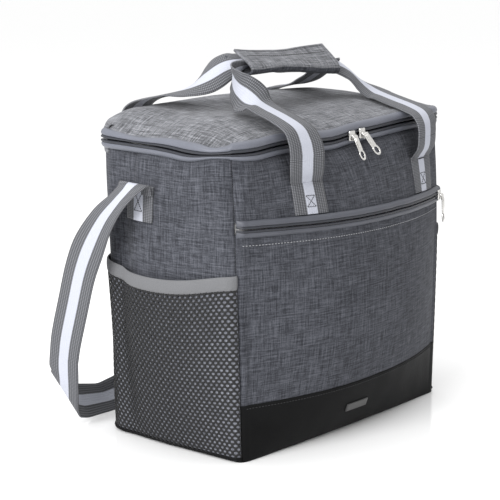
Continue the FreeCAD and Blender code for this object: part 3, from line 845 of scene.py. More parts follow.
def plate(name, path, low, high):
    """A flat sheet with the outline of a path in plan."""
    count = len(path)
    verts = [(x, y, low) for x, y in path] + [(x, y, high) for x, y in path]
    faces = [tuple(range(count))[::-1], tuple(range(count, 2 * count))]
    faces += [(i, (i + 1) % count, count + (i + 1) % count, count + i) for i in range(count)]
    return new_object(name, verts, faces, [(x, y) for x, y in path] * 2, smooth=False)


def make_base():
    """The flat base under the bag, the board in it and the foam on the board."""
    levels = (("base", 0.0, 1.2, 1.0, BLACK, "black_leatherette", "bottom_panel"),
              ("board", 1.5, 3.3, 3.5, BOARD, "board", "base_board"),
              ("floor_pad", 3.7, 8.4, 3.5, FOAM, "foam", "floor_foam"))
    for name, low, high, inset, mat, slot, node in levels:
        path = outline(low * MM, inset * MM)[0][1:-1]
        dress(plate(name, path, low * MM, high * MM), mat, "bag", slot, node)


FRONT_SLACK = 0.42      # share of the front's bulge that its foam and liner follow


def inner_wall(side, low, high, rows, cols, inset):
    """A smooth wall some way inside the outer cloth."""
    slack = FRONT_SLACK if side == "front" else 1.0
    return wall(side, low * MM, high, rows, cols, inset=inset * MM, slack=slack, rough=False)


def make_inside():
    """The foam in the walls and the silvery liner, which show when the lid is open."""
    for side in PANELS:
        grid = inner_wall(side, 14, SEAM_Z - 2 * MM, 20, 30, 4.5)
        foam = sheet_object(f"{side}_foam_sheet", grid, 3 * MM)
        dress(foam, FOAM, "bag", "foam", f"{side}_foam")
    ring = np.concatenate([inner_wall(side, 9, SEAM_Z, 40, 40, 9)[:, :-1]
                           for side in ("front", "right", "back", "left")], axis=1)
    liner = sheet_object("liner_walls", ring, 0.8 * MM, closed=True, uv=np.zeros(ring.shape[:2] + (2,)))
    floor = plate("liner_floor", ring[0, :, :2], 9 * MM, 9.8 * MM)
    dress(join("liner", [liner, floor]), FILM, "bag", "liner_film", "inner_liner")


# ---------------------------------------------------------------- zips

def rim_line(count, end_y):
    """Distances round the rim's outline, from the left end round the front to the right end."""
    path, distance, _ = outline(ZIP_Z)
    right = np.interp(end_y, path[25:50, 1], distance[25:50])
    return np.linspace(-right, right, count)


def follow(path, normals, heights, aways):
    """A grid: one row per height and distance outwards, along a path in plan."""
    rows = []
    for height, away in zip(heights, aways):
        flat = path + normals * (away[:, None] if np.ndim(away) else away)
        rows.append(np.column_stack([flat, height + np.zeros(len(path))]))
    return np.array(rows)


TAPE_THICK = 0.9 * MM
ZIP_END = 14 * MM           # how far in front of the back wall the main zip ends
POCKET_ZIP_HALF = 8.2 * MM
# Sections of the tapes and coils: height as a share of the width, and millimetres outwards.
LOWER_TAPE = ((-1.0, 0.2), (-0.93, 2.3), (-0.78, 4.0), (-0.58, 4.9), (-0.42, 4.7), (-0.36, 4.1))
LOWER_COIL = ((-0.36, 4.1), (-0.30, 4.9), (-0.20, 5.4), (-0.10, 5.0), (-0.05, 3.4))
UPPER_COIL = ((0.05, 3.4), (0.10, 5.0), (0.20, 5.4), (0.30, 4.9), (0.36, 4.1))
UPPER_TAPE = ((0.36, 4.1), (0.42, 4.8), (0.58, 5.2), (0.80, 4.5), (0.95, 2.8), (1.02, 0.4))


def make_main_zip():
    """Both tapes of the main zip and the two coils under their folded edges."""
    line = rim_line(440, HALF_Y - ZIP_END)
    path, normals = along_outline(ZIP_Z, line)
    middle = ZIP_Z + rim_wave(*path.T)
    below, above = tape_below(*path.T), tape_above(*path.T)
    ripple = np.array([soft(a, b, 0.3, 60, 4.0) for a, b in path]) * 0.5 * MM
    strips = (("zip_tape_lower", LOWER_TAPE, below, TAPE, "bag", ("main_zip_lower_tape",)),
              ("zip_coil_lower", LOWER_COIL, below, COIL, "bag", ()),
              ("zip_coil_upper", UPPER_COIL, above, COIL, "lid", ()),
              ("zip_tape_upper", UPPER_TAPE, above, TAPE, "lid", ("main_zip_upper_tape",)))
    for name, profile, width, mat, body, nodes in strips:
        dense = smooth_line(profile, 4 * len(profile))
        heights = [middle + share * width for share, _ in dense]
        aways = [away * MM * (0.55 + 0.45 * np.minimum(width / (9 * MM), 1)) + ripple * abs(share)
                 for share, away in dense]
        tape = sheet_object(name, follow(path, normals, heights, aways), TAPE_THICK)
        dress(tape, mat, body, "zip_tape", *nodes)


def make_pocket_zip():
    """Both tapes of the pocket zip, straight across the front between its seams."""
    t = np.linspace(0.004, 0.996, 300)
    base = skin("front", t, POCKET_ZIP_Z)
    start, end = panel_span("front", POCKET_ZIP_Z)
    _, normals = along_outline(POCKET_ZIP_Z, start + (end - start) * t)
    ripple = np.array([soft(a, b, 0.7, 45, 9.0) for a, b in base[:, :2]]) * 0.4 * MM
    ends = np.clip(np.minimum(t, 1 - t) / 0.02, 0.3, 1)
    strips = (("pocket_tape_lower", LOWER_TAPE, TAPE_DARK, ("pocket_zip_lower_tape",)),
              ("pocket_coil_lower", LOWER_COIL, COIL, ()),
              ("pocket_coil_upper", UPPER_COIL, COIL, ()),
              ("pocket_tape_upper", UPPER_TAPE, TAPE_DARK, ("pocket_zip_upper_tape",)))
    for name, profile, mat, nodes in strips:
        dense = smooth_line(profile, 4 * len(profile))
        heights = [base[:, 2] + share * POCKET_ZIP_HALF + ripple for share, _ in dense]
        aways = [(away * 0.75 * ends) * MM for _, away in dense]
        tape = sheet_object(name, follow(base[:, :2], normals, heights, aways), TAPE_THICK)
        dress(tape, mat, "bag", "zip_tape", *nodes)


# ---------------------------------------------------------------- lid

CORE = 92 * MM              # half the length of the lid's ridge
CROWN = 16 * MM             # height of the lid's padding
BACK_RISE = 8.5 * MM        # how much higher the lid is towards its hinge


def lid_height(x, y, share):
    """Height of the lid's cloth; share is 0 on the ridge and 1 at the rim."""
    rim = ZIP_Z + (rim_wave(x, y) + tape_above(x, y)) * share ** 6 + 7 * MM * (1 - share ** 6)
    crown = CROWN * (1 - share ** 3.4) * (1 + 0.12 * np.clip(-x / HALF_X1, -1, 1))
    back = np.clip((y - 15 * MM) / (60 * MM), 0, 1) ** 1.5 * (1 - 0.65 * np.clip(x / HALF_X1, 0, 1))
    corner = 1 - np.clip((np.abs(x) - 120 * MM) / (40 * MM), 0, 1) ** 2
    return rim + crown + BACK_RISE * back * corner


def lid_grid(rings, cols, drop=0.0, inset=0.0):
    """The lid's surface in rings from the rim to the ridge."""
    line = np.linspace(0, outline(ZIP_Z, inset)[1][-1], cols, endpoint=False)
    rim, _ = along_outline(ZIP_Z, line, inset)
    core = np.column_stack([np.clip(rim[:, 0], -CORE, CORE), np.zeros(cols)])
    grid = []
    for share in 1 - np.linspace(0, 1, rings) ** 1.35:
        flat = core + (rim - core) * share
        height = lid_height(flat[:, 0], flat[:, 1], share)
        waves = np.array([soft(a, b, 0.1, 16, 31.0) + 0.4 * soft(a, b, 0.1, 42, 12.0) for a, b in flat])
        grid.append(np.column_stack([flat, height - drop + waves * 1.4 * MM * min(1, 4 * (1 - share))]))
    return np.array(grid)


def ring_sheet(name, outer, thick):
    """A closed dome of rings and the same dome set down by thick, welded along its ridge."""
    rings, cols = outer.shape[:2]
    verts = np.concatenate([outer.reshape(-1, 3), outer.reshape(-1, 3) - UP * thick])
    count = rings * cols
    faces = shell_faces(rings, cols, True)
    faces += [(c, count + c, count + (c + 1) % cols, (c + 1) % cols) for c in range(cols)]

    def weld(mesh):
        ridges = [[mesh.verts[end - c] for c in range(cols, 0, -1)] for end in (count, 2 * count)]
        for ridge in ridges:
            bmesh.ops.remove_doubles(mesh, verts=ridge, dist=0.02 * MM)

    return rework(new_object(name, verts, faces, verts[:, :2]), weld)


def make_lid():
    """The padded lid: its cloth, the foam under it and the silvery liner below."""
    # The lid's cloth takes the lighter heather copy: painted light on its top.
    layers = (("lid_cloth", 34, 0, 0, CLOTH / MM, HEATHER_PAINTED_LIT, "heather_fabric", "lid_panel", 0.6),
              ("lid_pad", 16, 3, 4, 4, FOAM, "foam", "lid_foam", 0.8),
              ("lid_lining", 16, 7.8, 4, 0.8, FILM, "liner_film", "lid_liner", None))
    for name, rings, drop, inset, thick, mat, slot, node, fill in layers:
        grid = lid_grid(rings, 240, drop * MM, inset * MM)
        piece = dress(ring_sheet(name, grid, thick * MM), mat, "lid", slot, node)


def roll_height(x):
    """How high the fold of cloth along the lid's back edge stands above the coil."""
    fall = 8 * MM * np.clip(x / HALF_X1, 0, 1) ** 1.3
    ends = 9 * MM * np.clip((np.abs(x) - 112 * MM) / (42 * MM), 0, 1) ** 1.6
    return np.maximum(22.5 * MM - fall - ends, 13 * MM)


# The hinge cloth in mm: height above the coil and outwards, then below its top and outwards.
HINGE_ROLL = ((-14, 0.6), (-7, 1.6), (0, 2.0), (7, 2.0))
HINGE_FOLD = ((5, 1.2), (1.2, -0.4), (0, -2.6), (0.6, -5.2), (3.0, -7.6), (5.5, -8.6))
HINGE_ROUND = 36 * MM       # how far it goes round the back corners, past the ends of their seams


def make_hinge():
    """The cloth that joins the back wall to the lid: up the back, over a soft roll, onto the lid."""
    _, _, seams = outline(ZIP_Z)
    line = np.linspace(seams[1] - HINGE_ROUND, seams[2] + HINGE_ROUND, 190)
    path, normals = along_outline(ZIP_Z, line)
    top = roll_height(path[:, 0])
    heights = [ZIP_Z + h * MM + np.zeros(len(path)) for h, _ in HINGE_ROLL]
    aways = [a * MM for _, a in HINGE_ROLL]
    for drop, away in HINGE_FOLD:
        heights.append(ZIP_Z + top - drop * MM)
        aways.append(away * MM)
    rows = follow(path, normals, heights, aways)
    dense = np.stack([smooth_line(rows[:, c], 40) for c in range(rows.shape[1])], axis=1)
    piece = sheet_object("hinge_cloth", dense, CLOTH)
    # The hinge cloth takes the lighter heather copy: painted light.
    bend(piece, HEATHER_PAINTED_LIT, "heather_fabric", ("bag", "lid"), (0, HALF_Y, ZIP_Z - 3 * MM),
         (0, HALF_Y, ZIP_Z + 6 * MM), "hinge_gusset_lower", "hinge_gusset_upper")


# ---------------------------------------------------------------- side pockets

MOUTH_Z = 156.5 * MM        # the side pockets' mouth, and how far it rises at its two ends
MOUTH_FRONT, MOUTH_BACK = 11.5 * MM, 8 * MM


def pocket_top(y):
    """Height of the pocket's binding along the side: it dips in the middle."""
    front, back = bump(y, -HALF_Y - 7 * MM, 50 * MM), bump(y, HALF_Y, 45 * MM)
    return MOUTH_Z + MOUTH_FRONT * front + MOUTH_BACK * back


def pocket_row(side, t, share, stand):
    """One row of a side pocket; share is 0 at the floor and 1 at the top of its mesh."""
    start, end = panel_span(side, 90 * MM)
    here, _ = along_outline(90 * MM, start + (end - start) * t)
    z = 2 * MM + (pocket_top(here[:, 1]) - 2 * MM) * share
    points, normals = FACES[side].at(t, z)
    normals[:, 2] = 0
    puff = stand * np.sin(math.pi * np.clip(t, 0, 1)) ** 1.1 * (0.35 + 0.65 * share)
    return points + normals * (1.0 * MM + puff)[:, None]


BINDING_PROFILE = ((-0.8, 0.2), (2, 1.1), (7, 1.4), (11.2, 1.1), (12.8, 0.2))     # height, outwards


def make_side_pocket(side):
    """A mesh pocket: knitted lattice, piping at its foot and ribbed elastic at its mouth."""
    t = np.linspace(0.0, 1.0, 90)
    rows = [pocket_row(side, t, share, 5 * MM) for share in np.linspace(0, 1, 60)]
    surface = np.array(rows)
    lattice(f"{side}_pocket_net", surface, side)
    # A pale sheet just inside the net: painted light for the light that scatters through it; the wall's
    # own darker cloth lies behind.
    lining = np.array([pocket_row(side, t, share, 3.4 * MM) for share in np.linspace(0, 0.985, 60)])
    lining -= grid_normals(lining) * 0.6 * MM
    dress(sheet_object(f"{side}_pocket_backing_painted_light", lining, 0.3 * MM), NET_BACKING_PAINTED_LIGHT, "bag", "mesh")
    top = surface[-1]
    out = unit(np.cross(np.gradient(top, axis=0), UP))
    grid = np.array([top + (out * away + UP * rise) * MM
                     for rise, away in smooth_line(BINDING_PROFILE, 14)])
    dress(sheet_object(f"{side}_pocket_elastic", grid, 1.4 * MM), ELASTIC, "bag", "elastic",
          f"{side}_pocket_binding")
    piping(f"{side}_pocket_piping", surface[0] + UP * 1.4 * MM, 1.6 * MM)


def piping(name, line, radius, sides=8):
    """A thin round cord of cloth sewn along a line."""
    along = unit(np.gradient(line, axis=0))
    side = np.cross(along, UP)
    up = np.cross(side, along)
    angles = np.linspace(0, 2 * math.pi, sides, endpoint=False)
    ring = [line + (side * math.cos(a) + up * math.sin(a)) * radius for a in angles]
    n = len(line)
    faces = []
    for a in range(sides):
        b = (a + 1) % sides
        faces += [(a * n + i, b * n + i, b * n + i + 1, a * n + i + 1) for i in range(n - 1)]
    faces += [tuple(range(0, sides * n, n))[::-1], tuple(range(n - 1, sides * n, n))]
    return dress(new_object(name, np.concatenate(ring), faces), BLACK, "bag", "black_leatherette")


def rework(obj, step):
    """Apply one step to a piece's mesh, then turn all its faces outwards."""
    mesh = bmesh.new()
    mesh.from_mesh(obj.data)
    mesh.verts.ensure_lookup_table()
    step(mesh)
    bmesh.ops.recalc_face_normals(mesh, faces=mesh.faces)
    mesh.to_mesh(obj.data)
    mesh.free()
    return obj


HEXAGON = ((0.5, 0.33), (0.0, 0.66), (-0.5, 0.33), (-0.5, -0.33), (0.0, -0.66), (0.5, -0.33))
CELL_WIDE, CELL_TALL = 5.8 * MM, 3.5 * MM
HOLE_WIDE, HOLE_TALL = 0.62, 0.63       # size of a hole as a share of its cell


def lattice(name, surface, side):
    """A staggered net of threads over a surface, with a diamond hole in every cell."""
    rows, cols = surface.shape[:2]
    normal = grid_normals(surface)
    across = int(round(run_along(surface[30])[-1] / CELL_WIDE))
    up = int(round(run_along(surface[:, 45])[-1] / CELL_TALL))

    def at(u, v):
        """A point of the surface and its normal at fractions u and v."""
        a, b = min(max(u, 0), 1) * (cols - 1), min(max(v, 0), 1) * (rows - 1)
        i, j = min(int(a), cols - 2), min(int(b), rows - 2)
        fa, fb = a - i, b - j
        return ((g[j, i] * (1 - fa) + g[j, i + 1] * fa) * (1 - fb)
                + (g[j + 1, i] * (1 - fa) + g[j + 1, i + 1] * fa) * fb for g in (surface, normal))

    verts, faces, keys = [], [], {}

    def corner(u, v, lift):
        key = (round(u * 1e5), round(v * 1e5), lift)
        if key not in keys:
            point, out = at(u, v)
            keys[key] = len(verts)
            verts.append(point + out * lift)
        return keys[key]

    for r in range(up + 1):
        for c in range(across + 1):
            u, v = (c + 0.5 * (r % 2)) / across, r / up
            outer = [(u + a / across, v + b / up) for a, b in HEXAGON]
            inner = [(u + a * HOLE_WIDE / across, v + b * HOLE_TALL / up) for a, b in HEXAGON]
            if all(p[0] >= 1 or p[0] <= 0 for p in outer):
                continue
            for k in range(6):
                edge = (outer[k], outer[(k + 1) % 6], inner[(k + 1) % 6], inner[k])
                top = [corner(*p, lift * MM) for p, lift in zip(edge, (0.5, 0.5, 0.25, 0.25))]
                low = [corner(*p, -0.3 * MM) for p in edge]
                if len(set(top)) == 4:
                    faces += [tuple(top), tuple(low[::-1]), (top[3], top[2], low[2], low[3])]
    obj = rework(new_object(name, verts, faces), lambda mesh: bmesh.ops.dissolve_degenerate(
        mesh, dist=0.01 * MM, edges=mesh.edges))
    return dress(obj, MESH, "bag", "mesh", f"{side}_mesh_pocket")


# ---------------------------------------------------------------- seams and sewing

def make_seams():
    """Dark cords laid in the two front seams: painted shade that darkens the valley of each seam."""
    z = np.linspace(2 * MM, SEAM_Z - 3 * MM, 90)
    for side, t in (("left", 1.0), ("right", 0.0)):
        line, normals = FACES[side].at(np.full(90, t), z)
        seam = piping(f"{side}_front_seam", line - normals * 0.3 * MM, 1.1 * MM)
        # Dark thread colour on the cord: painted shade in the seam's valley.
        seam.data.materials[0] = DARK_THREAD


def make_pocket_sewing():
    """The pale row of stitches under the pocket zip, and the row above its foot band."""
    face = FACES["front"]
    t = np.linspace(0.02, 0.98, 200)
    rows = (("pocket_stitches", POCKET_ZIP_Z - 14.5 * MM, PALE_THREAD, 0.1),
            ("foot_stitches", BAND_Z - 3 * MM, DARK_THREAD, 0.9))
    for name, z, mat, out in rows:
        points, normals = face.at(t, np.full(200, z), out * MM)
        stitches(name, "bag", points, normals, mat, "heather_fabric")


def crossed_box(name, face, middle, width, low, high, out=WEB_THICK + 0.1 * MM):
    """A cross of stitches between two level rows, sewn through webbing on a wall."""
    left, right = middle - width / 2, middle + width / 2
    for index, (start, end) in enumerate(((low, high), (high, low), (high, high), (low, low))):
        points, normals = face.line((left, start), (right, end), 12, out)
        stitches(f"{name}_{index}", "bag", points, normals, DARK_THREAD, "webbing",
                 pitch=2.0 * MM, share=0.95, radius=0.34 * MM)


# ---------------------------------------------------------------- carrying handles

SEWN_LOW, SEWN_HIGH = POCKET_ZIP_Z + POCKET_ZIP_HALF, 256 * MM
SEWN_X = (-79 * MM, 110 * MM)
# How far a free leg has come to its upright line at each height in mm.
LEG_RISE = ((0.12, 259), (0.4, 263), (0.72, 267), (0.93, 272), (1.0, 277), (1.0, 281))
LEG_TURN = 0.2          # how far the legs turn to follow the bulged wall under them

FRONT_LEFT = (
    (-88, -111.7, 281, 0.98, -0.2, 0, 0), (-88, -111.7, 288, 0.98, -0.2, 0, 0),
    (-89, -109.5, 299.5, 0.99, -0.14, 0, 0.5), (-90, -102.5, 311, 1, -0.05, 0, 1),
    (-90.5, -86, 319, 1, 0, 0, 1), (-90.5, -68, 324.8, 1, 0, 0, 1),
    (-90, -56, 328.6, 1, 0.06, 0.04, 0.5), (-90, -49, 330.2, 0.88, 0.26, 0.38, 0),
    (-89.5, -43, 332.4, 0.72, 0.25, 0.66, 0), (-88.5, -34, 336.5, 0.42, 0.1, 0.9, 0, 0.92),
    (-86, -24, 340.5, 0.15, -0.06, 0.98, 0, 0.84), (-82, -15.5, 346.5, 0.05, 0.02, 1, 0, 0.72),
    (-77, -11, 353.5, 0, -0.05, 1, 0, 0.56), (-66, -12.3, 358, 0, -0.4, 0.9, 0, 0.42),
    (-54, -13.3, 359.8, 0, -0.95, 0.3, 0, 0.4), (-40, -13.3, 359.8, 0, -0.85, -0.5, 1, 0.45),
    (-22, -13.3, 359.5, 0, -0.72, -0.69, 2, 0.62), (0, -13.3, 358.6, 0, -0.72, -0.69, 2, 0.66),
)
FRONT_RIGHT = (
    (30, -13.3, 356.6, 0, -0.72, -0.69, 2, 0.7), (60, -13.3, 355, 0, -0.72, -0.69, 2, 0.72),
    (74, -16, 351, 0, -0.75, -0.66, 4, 0.76), (87, -22, 342.5, -0.12, -0.85, -0.55, 6, 0.8),
    (98, -31, 330, -0.45, -0.75, -0.4, 5, 0.86), (105, -43, 321, -0.85, -0.4, -0.2, 2, 0.95),
    (107, -54, 317.5, -1, -0.05, 0, 1), (107.5, -70, 313.5, -1, 0, 0, 1),
    (107, -88, 309.5, -1, 0, 0, 1), (106, -102, 304.5, -1, -0.1, 0, 1),
    (104.5, -109.5, 296.5, -0.98, -0.17, 0, 0.5), (104, -111.7, 288, -0.98, -0.2, 0, 0),
    (104, -111.7, 281, -0.98, -0.2, 0, 0),
)
BACK_LEFT = (
    (-88, 111.7, 281, -1, 0, 0, 0), (-88, 111.7, 288, -1, 0, 0, 0), (-89, 110, 300, -1, 0, 0, 0.5),
    (-90, 104, 313, -1, 0, 0, 1), (-91, 90, 321.5, -1, 0, 0, 1), (-91, 70, 326.5, -1, 0, 0, 1),
    (-90, 50, 331.5, -1, -0.1, 0, 1), (-88, 32, 338.5, -0.8, -0.5, -0.2, 2),
    (-82, 17, 347.5, -0.45, -0.75, -0.45, 4), (-73, 4, 357.5, -0.1, -0.75, -0.64, 4, 0.8),
    (-60, -5.5, 361.6, 0, -0.72, -0.69, 2, 0.62), (-30, -5.5, 361, 0, -0.72, -0.69, 2, 0.62),
    (0, -5.5, 359.4, 0, -0.72, -0.69, 2, 0.66),
)
BACK_RIGHT = (
    (30, -5.5, 357.6, 0, -0.72, -0.69, 2, 0.66), (54, -5.5, 356, 0.05, -0.8, -0.6, 1, 0.56),
    (68, -5, 354.5, 0.6, -0.7, -0.4, 0, 0.62), (75.5, -2, 349.5, 0.95, -0.25, -0.1, 0, 0.82),
    (78, 6, 341.5, 1, 0, 0, 0, 0.95), (84, 21, 333.5, 1, 0, 0, 0), (92, 38, 326, 1, 0, 0, 0),
    (99, 58, 320.5, 1, 0, 0, 0.5), (103, 80, 316.5, 1, 0, 0, 1), (104.5, 100, 310, 1, 0, 0, 1),
    (104.5, 109.5, 299, 1, 0, 0, 0.5), (104, 111.7, 288, 1, 0, 0, 0), (104, 111.7, 281, 1, 0, 0, 0),
)


def free_leg(face, sewn_x, free_x, sign):
    """Webbing sewn flat up a wall, then free up to the fold over the lid; sign is -1 in front."""
    grid, _ = face.patch(sewn_x, WEB_WIDE, SEWN_LOW, SEWN_HIGH, 9, WEB_COLS, WEB_THICK)
    step = WEB_SHARE * WEB_WIDE / 2 * -sign
    turn = LEG_TURN * math.copysign(1, free_x) if sign < 0 else 0.0
    flat = np.column_stack([free_x + step * math.sqrt(1 - turn ** 2),
                            sign * (LEG_Y - 0.3 * MM) + step * turn, np.zeros(WEB_COLS)])
    rows = list(grid)
    for share, z in LEG_RISE:
        row = grid[-1] * (1 - share) + flat * share
        row[:, 2] = z * MM
        rows.append(row)
    rows = np.array(rows)
    dense = np.stack([smooth_line(rows[:, c], 80) for c in range(WEB_COLS)], axis=1)
    return dense, web_uv(run_along(dense[:, WEB_COLS // 2]))


def make_handle(name, stations, sign):
    """One carrying handle: two sewn legs, and the ribbon that joins them through the grip."""
    face = FACES[name]
    legs = [webbing_sheet(f"{name}_leg_{index}", *free_leg(face, sewn, free, sign))
            for index, (sewn, free) in enumerate(zip(SEWN_X, LEG_X))]
    bend(join(f"{name}_strap_legs", legs), WEBBING, "webbing", ("bag", f"{name}_legs"),
         (0, sign * LEG_Y, 252 * MM), (0, sign * LEG_Y, 263 * MM),
         f"{name}_webbing_ends", f"{name}_webbing_legs")
    top = webbing_sheet(f"{name}_strap_top", *webbing_grid(stations, 420))
    bend(top, WEBBING, "webbing", (f"{name}_legs", f"{name}_handle"),
         (0, sign * LEG_Y, 302 * MM), (0, sign * LEG_Y, 316 * MM), f"{name}_webbing_top")
    for index, x in enumerate(SEWN_X):
        crossed_box(f"{name}_cross_{index}", face, x, 11 * MM, SEWN_LOW + 6.5 * MM, SEWN_LOW + 16 * MM)
        tack = SEWN_HIGH - 1 * MM
        points, normals = face.line((x - 6 * MM, tack), (x + 6 * MM, tack), 12, WEB_THICK + 0.1 * MM)
        stitches(f"{name}_tack_{index}", "bag", points, normals, DARK_THREAD, "webbing",
                 pitch=1.2 * MM, share=0.9, radius=0.6 * MM)


# ---------------------------------------------------------------- grip

GRIP_HALF = 68 * MM
GRIP_THICK = 2.2 * MM
GRIP_FOLD, GRIP_TIP = 346, 370      # heights in mm between which GRIP_LIFT passes over
# Sections of the wrap and the flap (y, z), and (x, rise of the fold, rise of the tip), in mm.
WRAP_PROFILE = (
    (8, 361), (6, 355), (2, 349), (-6, 344.5), (-15, 342.5), (-22, 342.5), (-26.8, 344.6),
    (-28.2, 348.6),
)
FLAP_PROFILE = (
    (-28.2, 348.6), (-26.9, 352.2), (-22.8, 356.6), (-16.8, 361.6), (-10.5, 366.2), (-4.5, 370.8),
)
GRIP_LIFT = ((-68, 8.5, 4.6), (-35, 8.0, 0.5), (0, 6.0, -1.8), (35, 1.0, -1.8), (68, -2.5, -1.4))


def grip_grid(profile, rows, cols=110):
    """The grip's cloth along the handles; its fold and its tip rise as GRIP_LIFT says."""
    section = smooth_line(profile, rows)
    x = np.linspace(-GRIP_HALF, GRIP_HALF, cols)
    lift = smooth_line(GRIP_LIFT, cols)
    out = np.empty((rows, cols, 3))
    for index, (y, z) in enumerate(section):
        high = np.clip((z - GRIP_FOLD) / (GRIP_TIP - GRIP_FOLD), 0, 1)
        wave = np.array([soft(v, y * MM, z * MM, 26, 5.0) for v in x]) * 0.9
        rise = lift[:, 1] * (1 - high) + lift[:, 2] * high
        out[index] = np.column_stack([x, (y + wave) * MM, (z + rise + wave * 0.5) * MM])
    return out


def make_grip():
    """The padded wrap under both handles, its flap over them, and the patches between."""
    wrap, flap = grip_grid(WRAP_PROFILE, 34), grip_grid(FLAP_PROFILE, 30)
    piece = sheet_object("grip_cloth", wrap, GRIP_THICK)
    dress(piece, HEATHER, "front_handle", "heather_fabric", "grip_wrap")
    piece = sheet_object("grip_flap_cloth", flap, GRIP_THICK)
    # The flap takes the lighter heather copy: painted light on its upper face.
    bend(piece, HEATHER_PAINTED_LIT, "heather_fabric", ("front_handle", "grip_flap"),
         (0, -28 * MM, 348.4 * MM), (0, -20 * MM, 362 * MM), "grip_flap")
    patches = (("grip_loops", wrap[4:13, 10:-10], "front_handle", "grip_loop_patch"),
               ("grip_hooks", flap[19:28, 10:-10], "grip_flap", "grip_hook_patch"))
    for name, grid, body, node in patches:
        inner = grid - grid_normals(grid) * (GRIP_THICK + 0.1 * MM)
        dress(sheet_object(name, inner, 1.0 * MM), MESH, body, "hook_and_loop", node)
    normals = grid_normals(flap)
    for name, row, ends in (("grip_row_upper", 20, 6), ("grip_row_edge", 27, 4)):
        line, up = flap[row, ends:-ends], normals[row, ends:-ends]
        stitches(name, "grip_flap", line + up * 0.1 * MM, up, DARK_THREAD, "heather_fabric",
                 pitch=3.0 * MM)


# ---------------------------------------------------------------- shoulder strap

STRAP_FALL = (
    (-180.2, 19.5, 247, 0, -0.9, 0), (-181, 19.5, 252.5, 0, -0.9, 0),
    (-183.4, 19, 256.2, 0, -0.9, 0), (-187, 19.5, 255.6, -0.12, -0.84, -0.08),
    (-190.5, 24, 249, -0.3, -0.74, -0.15), (-193, 34.5, 237.5, -0.32, -0.68, -0.26),
    (-193, 52.2, 219, -0.2, -0.75, -0.4), (-191.5, 71.7, 191.5, 0, -0.86, -0.44),
    (-190, 86, 164, 0, -0.92, -0.39), (-188, 99, 128, 0, -0.96, -0.29),
    (-187, 110.5, 92, 0, -0.98, -0.2), (-186, 115.5, 70, -0.02, -0.99, -0.05),
)
# Below that, both edges: the fold at the foot, where the strap turns to run along the back.
STRAP_FOLD = (
    ((-187.5, 134.5, 62), (-185, 97, 56)), ((-188, 132, 58), (-183, 99.5, 36)),
    ((-188, 131, 56), (-178, 105, 15)), ((-186.5, 132.5, 54), (-175.5, 106.5, 13.5)),
    ((-182, 132.5, 50), (-172, 108, 9)), ((-163, 127.5, 38), (-152, 115, 2.5)),
    ((-125, 131, 29), (-115, 115.5, 2)), ((-85, 116, 42), (-80, 114, 2)),
    ((-40, 113, 42), (-40, 113, 2)), ((0, 113, 42), (0, 113, 2)),
)


def strap_edges():
    """The strap's two edges from its left end to its right end, the right half being the mirror."""
    rows = smooth_line(STRAP_FALL, 260)
    half = rows[:, 3:] * WEB_WIDE / MM / 2
    fall = np.concatenate([rows[:, :3] - half, rows[:, :3] + half], axis=1)
    fold = np.concatenate([fall[-1:], np.reshape(STRAP_FOLD, (-1, 6))])
    run = run_along(fold)
    steps = np.linspace(0, run[-1], 240)
    fold = np.array([np.interp(steps, run, fold[:, i]) for i in range(6)]).T
    for _ in range(3):
        fold[3:-3] = sum(fold[3 + shift:len(fold) - 3 + shift] for shift in range(-3, 4)) / 7
    side = np.concatenate([fall, fold[1:]]) * MM
    return np.concatenate([side, (side * (-1, 1, 1, -1, 1, 1))[-2::-1]])


def ribbon(edges):
    """A grid between two edges, and its cloth coordinates."""
    share = (WEB_SHARE[None, :, None] + 1) / 2
    left, right = edges[:, :3], edges[:, 3:]
    grid = left[:, None] * (1 - share) + right[:, None] * share
    share = share[..., 0]
    run = run_along(left)[:, None] * (1 - share) + run_along(right)[:, None] * share
    return grid, np.stack([np.broadcast_to((share - 0.5) * WEB_WIDE, run.shape), run], axis=2)


PATCH_Y, PATCH_LOW, PATCH_HIGH = 21 * MM, 220 * MM, 252 * MM


def make_strap():
    """The shoulder strap in one length: down the left side, round behind the bag, up the right."""
    strap = webbing_sheet("shoulder_strap_webbing", *ribbon(strap_edges()))
    dress(strap, WEBBING, "shoulder_strap", "webbing", "shoulder_webbing")
    for side in ("left", "right"):
        thick = 2.4 * MM
        grid, uv = FACES[side].patch(PATCH_Y, 36 * MM, PATCH_LOW, PATCH_HIGH, 14, WEB_COLS, thick)
        patch = webbing_sheet(f"{side}_strap_patch", grid, uv, thick)
        dress(patch, WEBBING, "bag", "webbing", f"{side}_strap_anchor")
        crossed_box(f"{side}_patch_cross", FACES[side], PATCH_Y, 11 * MM,
                    PATCH_LOW + 9 * MM, PATCH_HIGH - 6 * MM, thick + 0.2 * MM)


def make_adjuster():
    """A tri-glide on the strap behind the bag: a frame with a bar across its middle."""
    low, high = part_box("strap_adjuster")
    middle = [(a + b) / 2 for a, b in zip(low, high)]
    long, thick, tall = (b - a for a, b in zip(low, high))
    bar = 4 * MM
    parts = []
    for z in (low[2] + bar / 2, high[2] - bar / 2):
        parts.append(block("adjuster_rail", (middle[0], middle[1], z), (long, thick, bar), 1.2 * MM))
    for x in (low[0] + bar / 2, middle[0], high[0] - bar / 2):
        away = 1.2 * MM if x == middle[0] else 0
        place = (x, middle[1] + away, middle[2])
        parts.append(block("adjuster_bar", place, (bar, thick, tall - bar), 1.2 * MM))
    dress(join("strap_triglide", parts), PLASTIC, "adjuster", "black_plastic", "strap_adjuster")


# ---------------------------------------------------------------- sliders, pulls, badge

